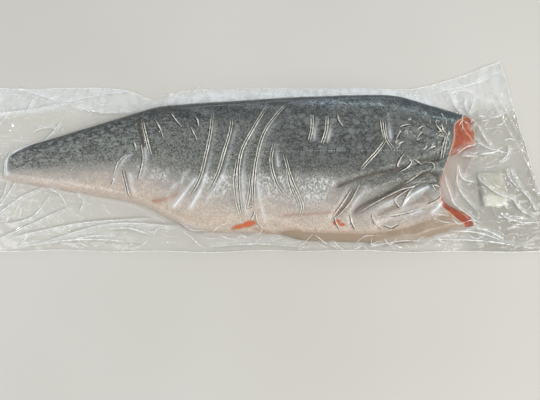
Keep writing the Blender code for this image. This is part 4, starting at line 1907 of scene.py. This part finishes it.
@dataclass
class Pouch:
    """The film round the fish, with its crests and the seal lines at its ends."""

    field: FilmField
    sweep: CrestSweep = CrestSweep()
    columns: int = 620
    rows: int = 156
    crest_sink: float = 0.00012
    rim_half_width: float = 0.00042

    def bunched(self, x: Field, y: Field) -> Field:
        """Where the film over the fish is finely crinkled.

        Args:
            x, y: places on the table.

        Returns:
            How strongly, from 0 to 1.
        """
        mottled = hump(x, 0.172, 0.030) * hump(y, 0.006, 0.024)
        folds = hump(x, 0.150, 0.050) * hump(y, -0.062, 0.026)
        return np.clip(0.8 * mottled + 0.5 * folds + 0.06, 0.0, 1.0)

    def film(self, material: Material) -> Object:
        """The envelope of film as one closed skin, slack round the fish and taut over it.

        Args:
            material: its finish.

        Returns:
            The film.
        """
        pouch = self.field.pouch
        x, y = pouch.grid(self.columns, self.rows)
        sheet = MeshKit.closed_sheet("film_sheet", x, y, self.field.read(x, y), pouch.under_z)
        lump = self.field.read(x, y, self.field.lump)
        over_fish = rise(lump - self.field.fish.base_z, 0.0005, 0.003)
        edges = (y - pouch.belly_at(x), pouch.back_at(x) - y, x - pouch.tail_edge, pouch.head_at(y) - x)
        MeshKit.attributes(sheet, {
            "slack": 1.0 - over_fish,
            "loose": (1.0 - over_fish) * rise(np.min(edges, axis=0), 0.0, 0.006),
            "steep": rise(self.field.read(x, y, self.field.slope), 0.25, 0.60),
            "crinkle": self.bunched(x, y) * over_fish,
            "sheen": self.sheen(x, y, fall(lump, 0.001, 0.002)),
            "shade": self.shade(x, y, fall(lump, 0.001, 0.002)),
        })
        return FilmCrinkle().build(sheet, material)

    def sheen(self, x: Field, y: Field, slack: Field) -> Field:
        """Where the film shows soft pale bands: painted reflections along its swells and folds, over the slack
        film and just past the back edge.

        Args:
            x, y: places on the table.
            slack: 1 where nothing lies under the film.

        Returns:
            The bands' strength.
        """
        soft = np.maximum(0.30 * SHEEN.band(x, y, 0.0028, grow=0.5), 0.40 * BRIGHT.band(x, y, 0.0030))
        crisp = np.maximum(0.62 * SHEEN.band(x, y, 0.0012, grow=0.65), BRIGHT.band(x, y, 0.0013))
        # Painted reflections: a broad pale cast on the slack film, a pale line just past the back edge and pale
        # bands beside the slack film's folds.
        corner = 0.25 * hump(x, -0.305, 0.035) * hump(y, 0.055, 0.022) + 0.30 * rise(y, 0.035, 0.065)
        fish = self.field.fish
        beyond = hump(y - fish.back_edge(fish.along(x)), 0.008, 0.006)
        corner += 0.40 * beyond * rise(x, -0.13, -0.06) * fall(x, 0.19, 0.22)
        glow = np.max([kind.band(x, y, 0.0024, 0.0022) for kind in SLACK_FOLDS], axis=0)
        return np.max((soft, crisp, slack * corner), axis=0) + 0.20 * glow

    @staticmethod
    def shade(x: Field, y: Field, slack: Field) -> Field:
        """Where the film and its creases shade what lies below, painted as a darker tint of the film.

        Args:
            x, y: places on the table.
            slack: 1 where nothing lies under the film.

        Returns:
            The shade's strength.
        """
        creases = np.max([kind.band(x, y, 0.0012, -0.0018) for kind in SLACK_FOLDS], axis=0)
        head = slack * rise(x, 0.205, 0.235) * (1.0 - 0.7 * rise(y, 0.040, 0.070))
        head *= 0.38 + 0.20 * rise(-y, 0.0, 0.05)
        return np.maximum(0.42 * creases, head + 0.25 * creases)

    def guide(self, kind: CrestSet) -> Object:
        """Guide lines on the film, tapered to nothing at their ends.

        Args:
            kind: the set of crests.

        Returns:
            The lines as one curve object.
        """
        share = np.linspace(0.0, 1.0, kind.points)
        radii = kind.tip + (1.0 - kind.tip) * np.sin(math.pi * share) ** kind.taper
        runs = []
        for line in kind.folds.lines:
            places = line.points(kind.points)
            along = np.gradient(places, axis=0)
            left = np.column_stack((-along[:, 1], along[:, 0])) / np.hypot(along[:, 0], along[:, 1])[:, None]
            runs += [(self.sunk(places + beside * left), radii) for beside in kind.beside]
        return MeshKit.line(kind.name + "_guide", runs)

    def sunk(self, places: Field) -> Field:
        """Places on the table raised to just under the film."""
        return np.column_stack((places, self.field.read(places[:, 0], places[:, 1]) - self.crest_sink))

    def rim_guide(self) -> Object:
        """Guide line round the pouch's outline.

        Returns:
            The line as a curve object.
        """
        x, y = self.field.pouch.grid(self.columns, self.rows)
        sides = ((slice(None), 0), (-1, slice(1, None)), (slice(-2, None, -1), -1), (0, slice(-2, None, -1)))
        places = self.sunk(np.concatenate([np.column_stack((x[side], y[side])) for side in sides]))
        return MeshKit.line("rim_guide", [(places, np.ones(len(places)))])

    def crests(self, finishes: Mapping[Crest, Material]) -> list[Object]:
        """Pinched crests on the flank, on the folds and on the slack film, the seal lines and the rim.

        Args:
            finishes: the material of each look.

        Returns:
            One piece for each set, the rim last.
        """
        tree = self.sweep.tree()
        rim = ("pouch_rim", self.rim_half_width, self.rim_half_width, Crest.SLACK)
        rows = [(kind.name, kind.half_width, kind.height, kind.look) for kind in CREST_SETS]
        guides = [self.guide(kind) for kind in CREST_SETS]
        shared = {"Beads": self.sweep.beads, "Sides": self.sweep.sides}
        made = []
        for (name, half_width, height, look), guide in zip([*rows, rim], [*guides, self.rim_guide()]):
            values = {"Half Width": half_width, "Height": height, "Finish": finishes[look], **shared}
            made.append(Tree.apply(guide, tree, name, values))
        return made


@dataclass
class Pad:
    """The small pale pad past the head end."""

    form: PadForm
    columns: int = 60
    rows: int = 80
    corner_pull: float = 0.07
    least_height: float = 0.0003

    def build(self, base_z: float, material: Material) -> Object:
        """Makes the pad as a closed soft body lying in the pouch.

        Args:
            base_z: height of its underside.
            material: its finish.

        Returns:
            The pad.
        """
        u, v = (share - 0.5 for share in spread(self.columns, self.rows))
        pull = 1.0 - self.corner_pull * (np.abs(u * v) * 4.0) ** 3
        off_x = u * self.form.length * pull
        off_y = v * self.form.width * pull
        turn = self.form.turn
        x = self.form.centre[0] + off_x * math.cos(turn) - off_y * math.sin(turn)
        y = self.form.centre[1] + off_x * math.sin(turn) + off_y * math.cos(turn)
        top = np.maximum(self.form.top(x, y), self.least_height)
        piece = MeshKit.closed_sheet("soaker_pad", x, y, base_z + top, base_z)
        # Painted shadow along the pad's left edge.
        side = 0.75 * fall(u, -0.46, -0.38) * fall(v, 0.15, 0.30)
        MeshKit.attributes(piece, {"side": side, "low": 0.8 * fall(v, -0.22, -0.16)})
        piece.data.materials.append(material)
        return piece


@dataclass(frozen=True)
class Lamp:
    """A soft rectangular lamp that points at a place."""

    name: str
    place: Triple
    target: Triple
    width: float
    height: float
    watts: float
    colour: Triple

    def build(self) -> None:
        """Adds the lamp to the scene."""
        light = bpy.data.lights.new(self.name, "AREA")
        light.shape = "RECTANGLE"
        light.size = self.width
        light.size_y = self.height
        light.energy = self.watts
        light.color = self.colour
        lamp = MeshKit.place(self.name, light)
        lamp.location = self.place
        lamp.rotation_euler = (Vector(self.target) - lamp.location).to_track_quat("-Z", "Y").to_euler()


@dataclass
class Studio:
    """Pale floor, soft light and the photograph's camera."""

    tilt: float = math.radians(13.0)
    distance: float = 0.431
    aim: Place = (0.016, -0.051)
    lens: float = 27.0
    sensor: float = 36.0
    near_clip: float = 0.01
    floor_size: float = 6.0
    sky_colour: Colour = (0.94, 0.97, 1.0, 1.0)
    sky_strength: float = 0.46
    lamps: tuple[Lamp, ...] = (
        Lamp("window", (0.10, 1.25, 0.60), (0.0, 0.0, 0.0), 1.30, 0.50, 3.6, (0.86, 0.94, 1.0)),
        Lamp("key", (1.15, -0.55, 0.90), (0.05, 0.0, 0.0), 1.00, 0.80, 11.6, (1.0, 0.98, 0.95)),
        Lamp("room", (-1.00, -0.50, 0.90), (0.0, 0.0, 0.0), 1.00, 0.80, 6.0, (0.97, 0.98, 1.0)),
        Lamp("spark right", (1.15, 0.45, 0.80), (0.08, 0.0, 0.0), 0.08, 0.08, 1.0, (1.0, 0.95, 0.86)),
        Lamp("spark left", (-1.25, 0.40, 0.80), (-0.05, 0.0, 0.0), 0.08, 0.08, 0.8, (1.0, 0.97, 0.92)),
        Lamp("spark low", (0.50, -0.85, 0.50), (0.05, 0.0, 0.0), 0.10, 0.06, 0.25, (1.0, 0.95, 0.86)),
    )

    def camera(self) -> None:
        """The camera, leaning slightly towards the belly side."""
        data = bpy.data.cameras.new("photo_camera")
        data.lens = self.lens
        data.sensor_width = self.sensor
        data.clip_start = self.near_clip
        camera = MeshKit.place("photo_camera", data)
        away = self.distance * math.sin(self.tilt)
        camera.location = (self.aim[0], self.aim[1] - away, self.distance * math.cos(self.tilt))
        camera.rotation_euler = (self.tilt, 0.0, 0.0)
        bpy.context.scene.camera = camera

    def floor(self) -> None:
        """A plain pale floor under the pouch."""
        half = self.floor_size / 2
        mesh = bpy.data.meshes.new("floor")
        corners = [(-half, -half, 0.0), (half, -half, 0.0), (half, half, 0.0), (-half, half, 0.0)]
        mesh.from_pydata(corners, [], [(0, 1, 2, 3)])
        mesh.materials.append(FloorFinish().build({}))
        MeshKit.place("floor", mesh)

    def sky(self) -> None:
        """Even pale surroundings."""
        world = bpy.data.worlds.new("studio")
        world.use_nodes = True
        ground = world.node_tree.nodes["Background"]
        ground.inputs["Color"].default_value = self.sky_colour
        ground.inputs["Strength"].default_value = self.sky_strength
        bpy.context.scene.world = world

    def build(self) -> None:
        """Sets the whole stage."""
        self.camera()
        self.floor()
        self.sky()
        for lamp in self.lamps:
            lamp.build()
        bpy.context.scene.view_settings.view_transform = "Standard"


def crest_finishes(groups: Groups) -> dict[Crest, Material]:
    """The material of each look of crest.

    Args:
        groups: the shared groups.

    Returns:
        The materials by look.
    """
    # The pale looks paint glints along the crests on top of the pinched film's own paleness; SHADED and SOFT
    # paint shade beside them.
    looks = {
        Crest.CREAM: (paint(255, 253, 240), 0.45, 1.0),
        Crest.THIN: (paint(255, 252, 240), 0.20, 1.0),
        Crest.SLACK: (paint(255, 255, 253), 0.72, 1.0),
        Crest.SHADED: (paint(52, 46, 37), 0.10, 0.85, 0.30),
        Crest.SOFT: (paint(124, 106, 92), 0.05, 0.60),
    }
    return {look: CrestFinish(look.value, *values).build(groups) for look, values in looks.items()}


def corners(box: tuple[Vector, Vector]) -> list[list[float]]:
    """A box as plain lists."""
    return [list(corner) for corner in box]


def main() -> None:
    """Builds the stage, the fish, the film and the pad, and logs each piece's face count."""
    logging.basicConfig(level=logging.INFO, format="%(name)s: %(message)s")
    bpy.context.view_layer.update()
    Studio().build()
    groups = SharedGroups().build()
    film_field = FilmField(FishForm(), PouchForm(), PadForm())
    pouch = Pouch(film_field)
    film = pouch.film(FilmFinish().build(groups))
    pieces = [
        Fish(film_field.fish).build(FishFinish().build(groups)),
        LateralLine().build(film_field.fish, ScaleFinish().build(groups)),
        Pad(film_field.pad).build(film_field.fish.base_z, PadFinish().build(groups)),
        film,
        *pouch.crests(crest_finishes(groups)),
    ]
    for piece in pieces:
        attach(piece, BODY)
        LOG.info("%s: %d faces", piece.name, len(piece.data.polygons))
    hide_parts(NODE)


if __name__ == "__main__":
    main()
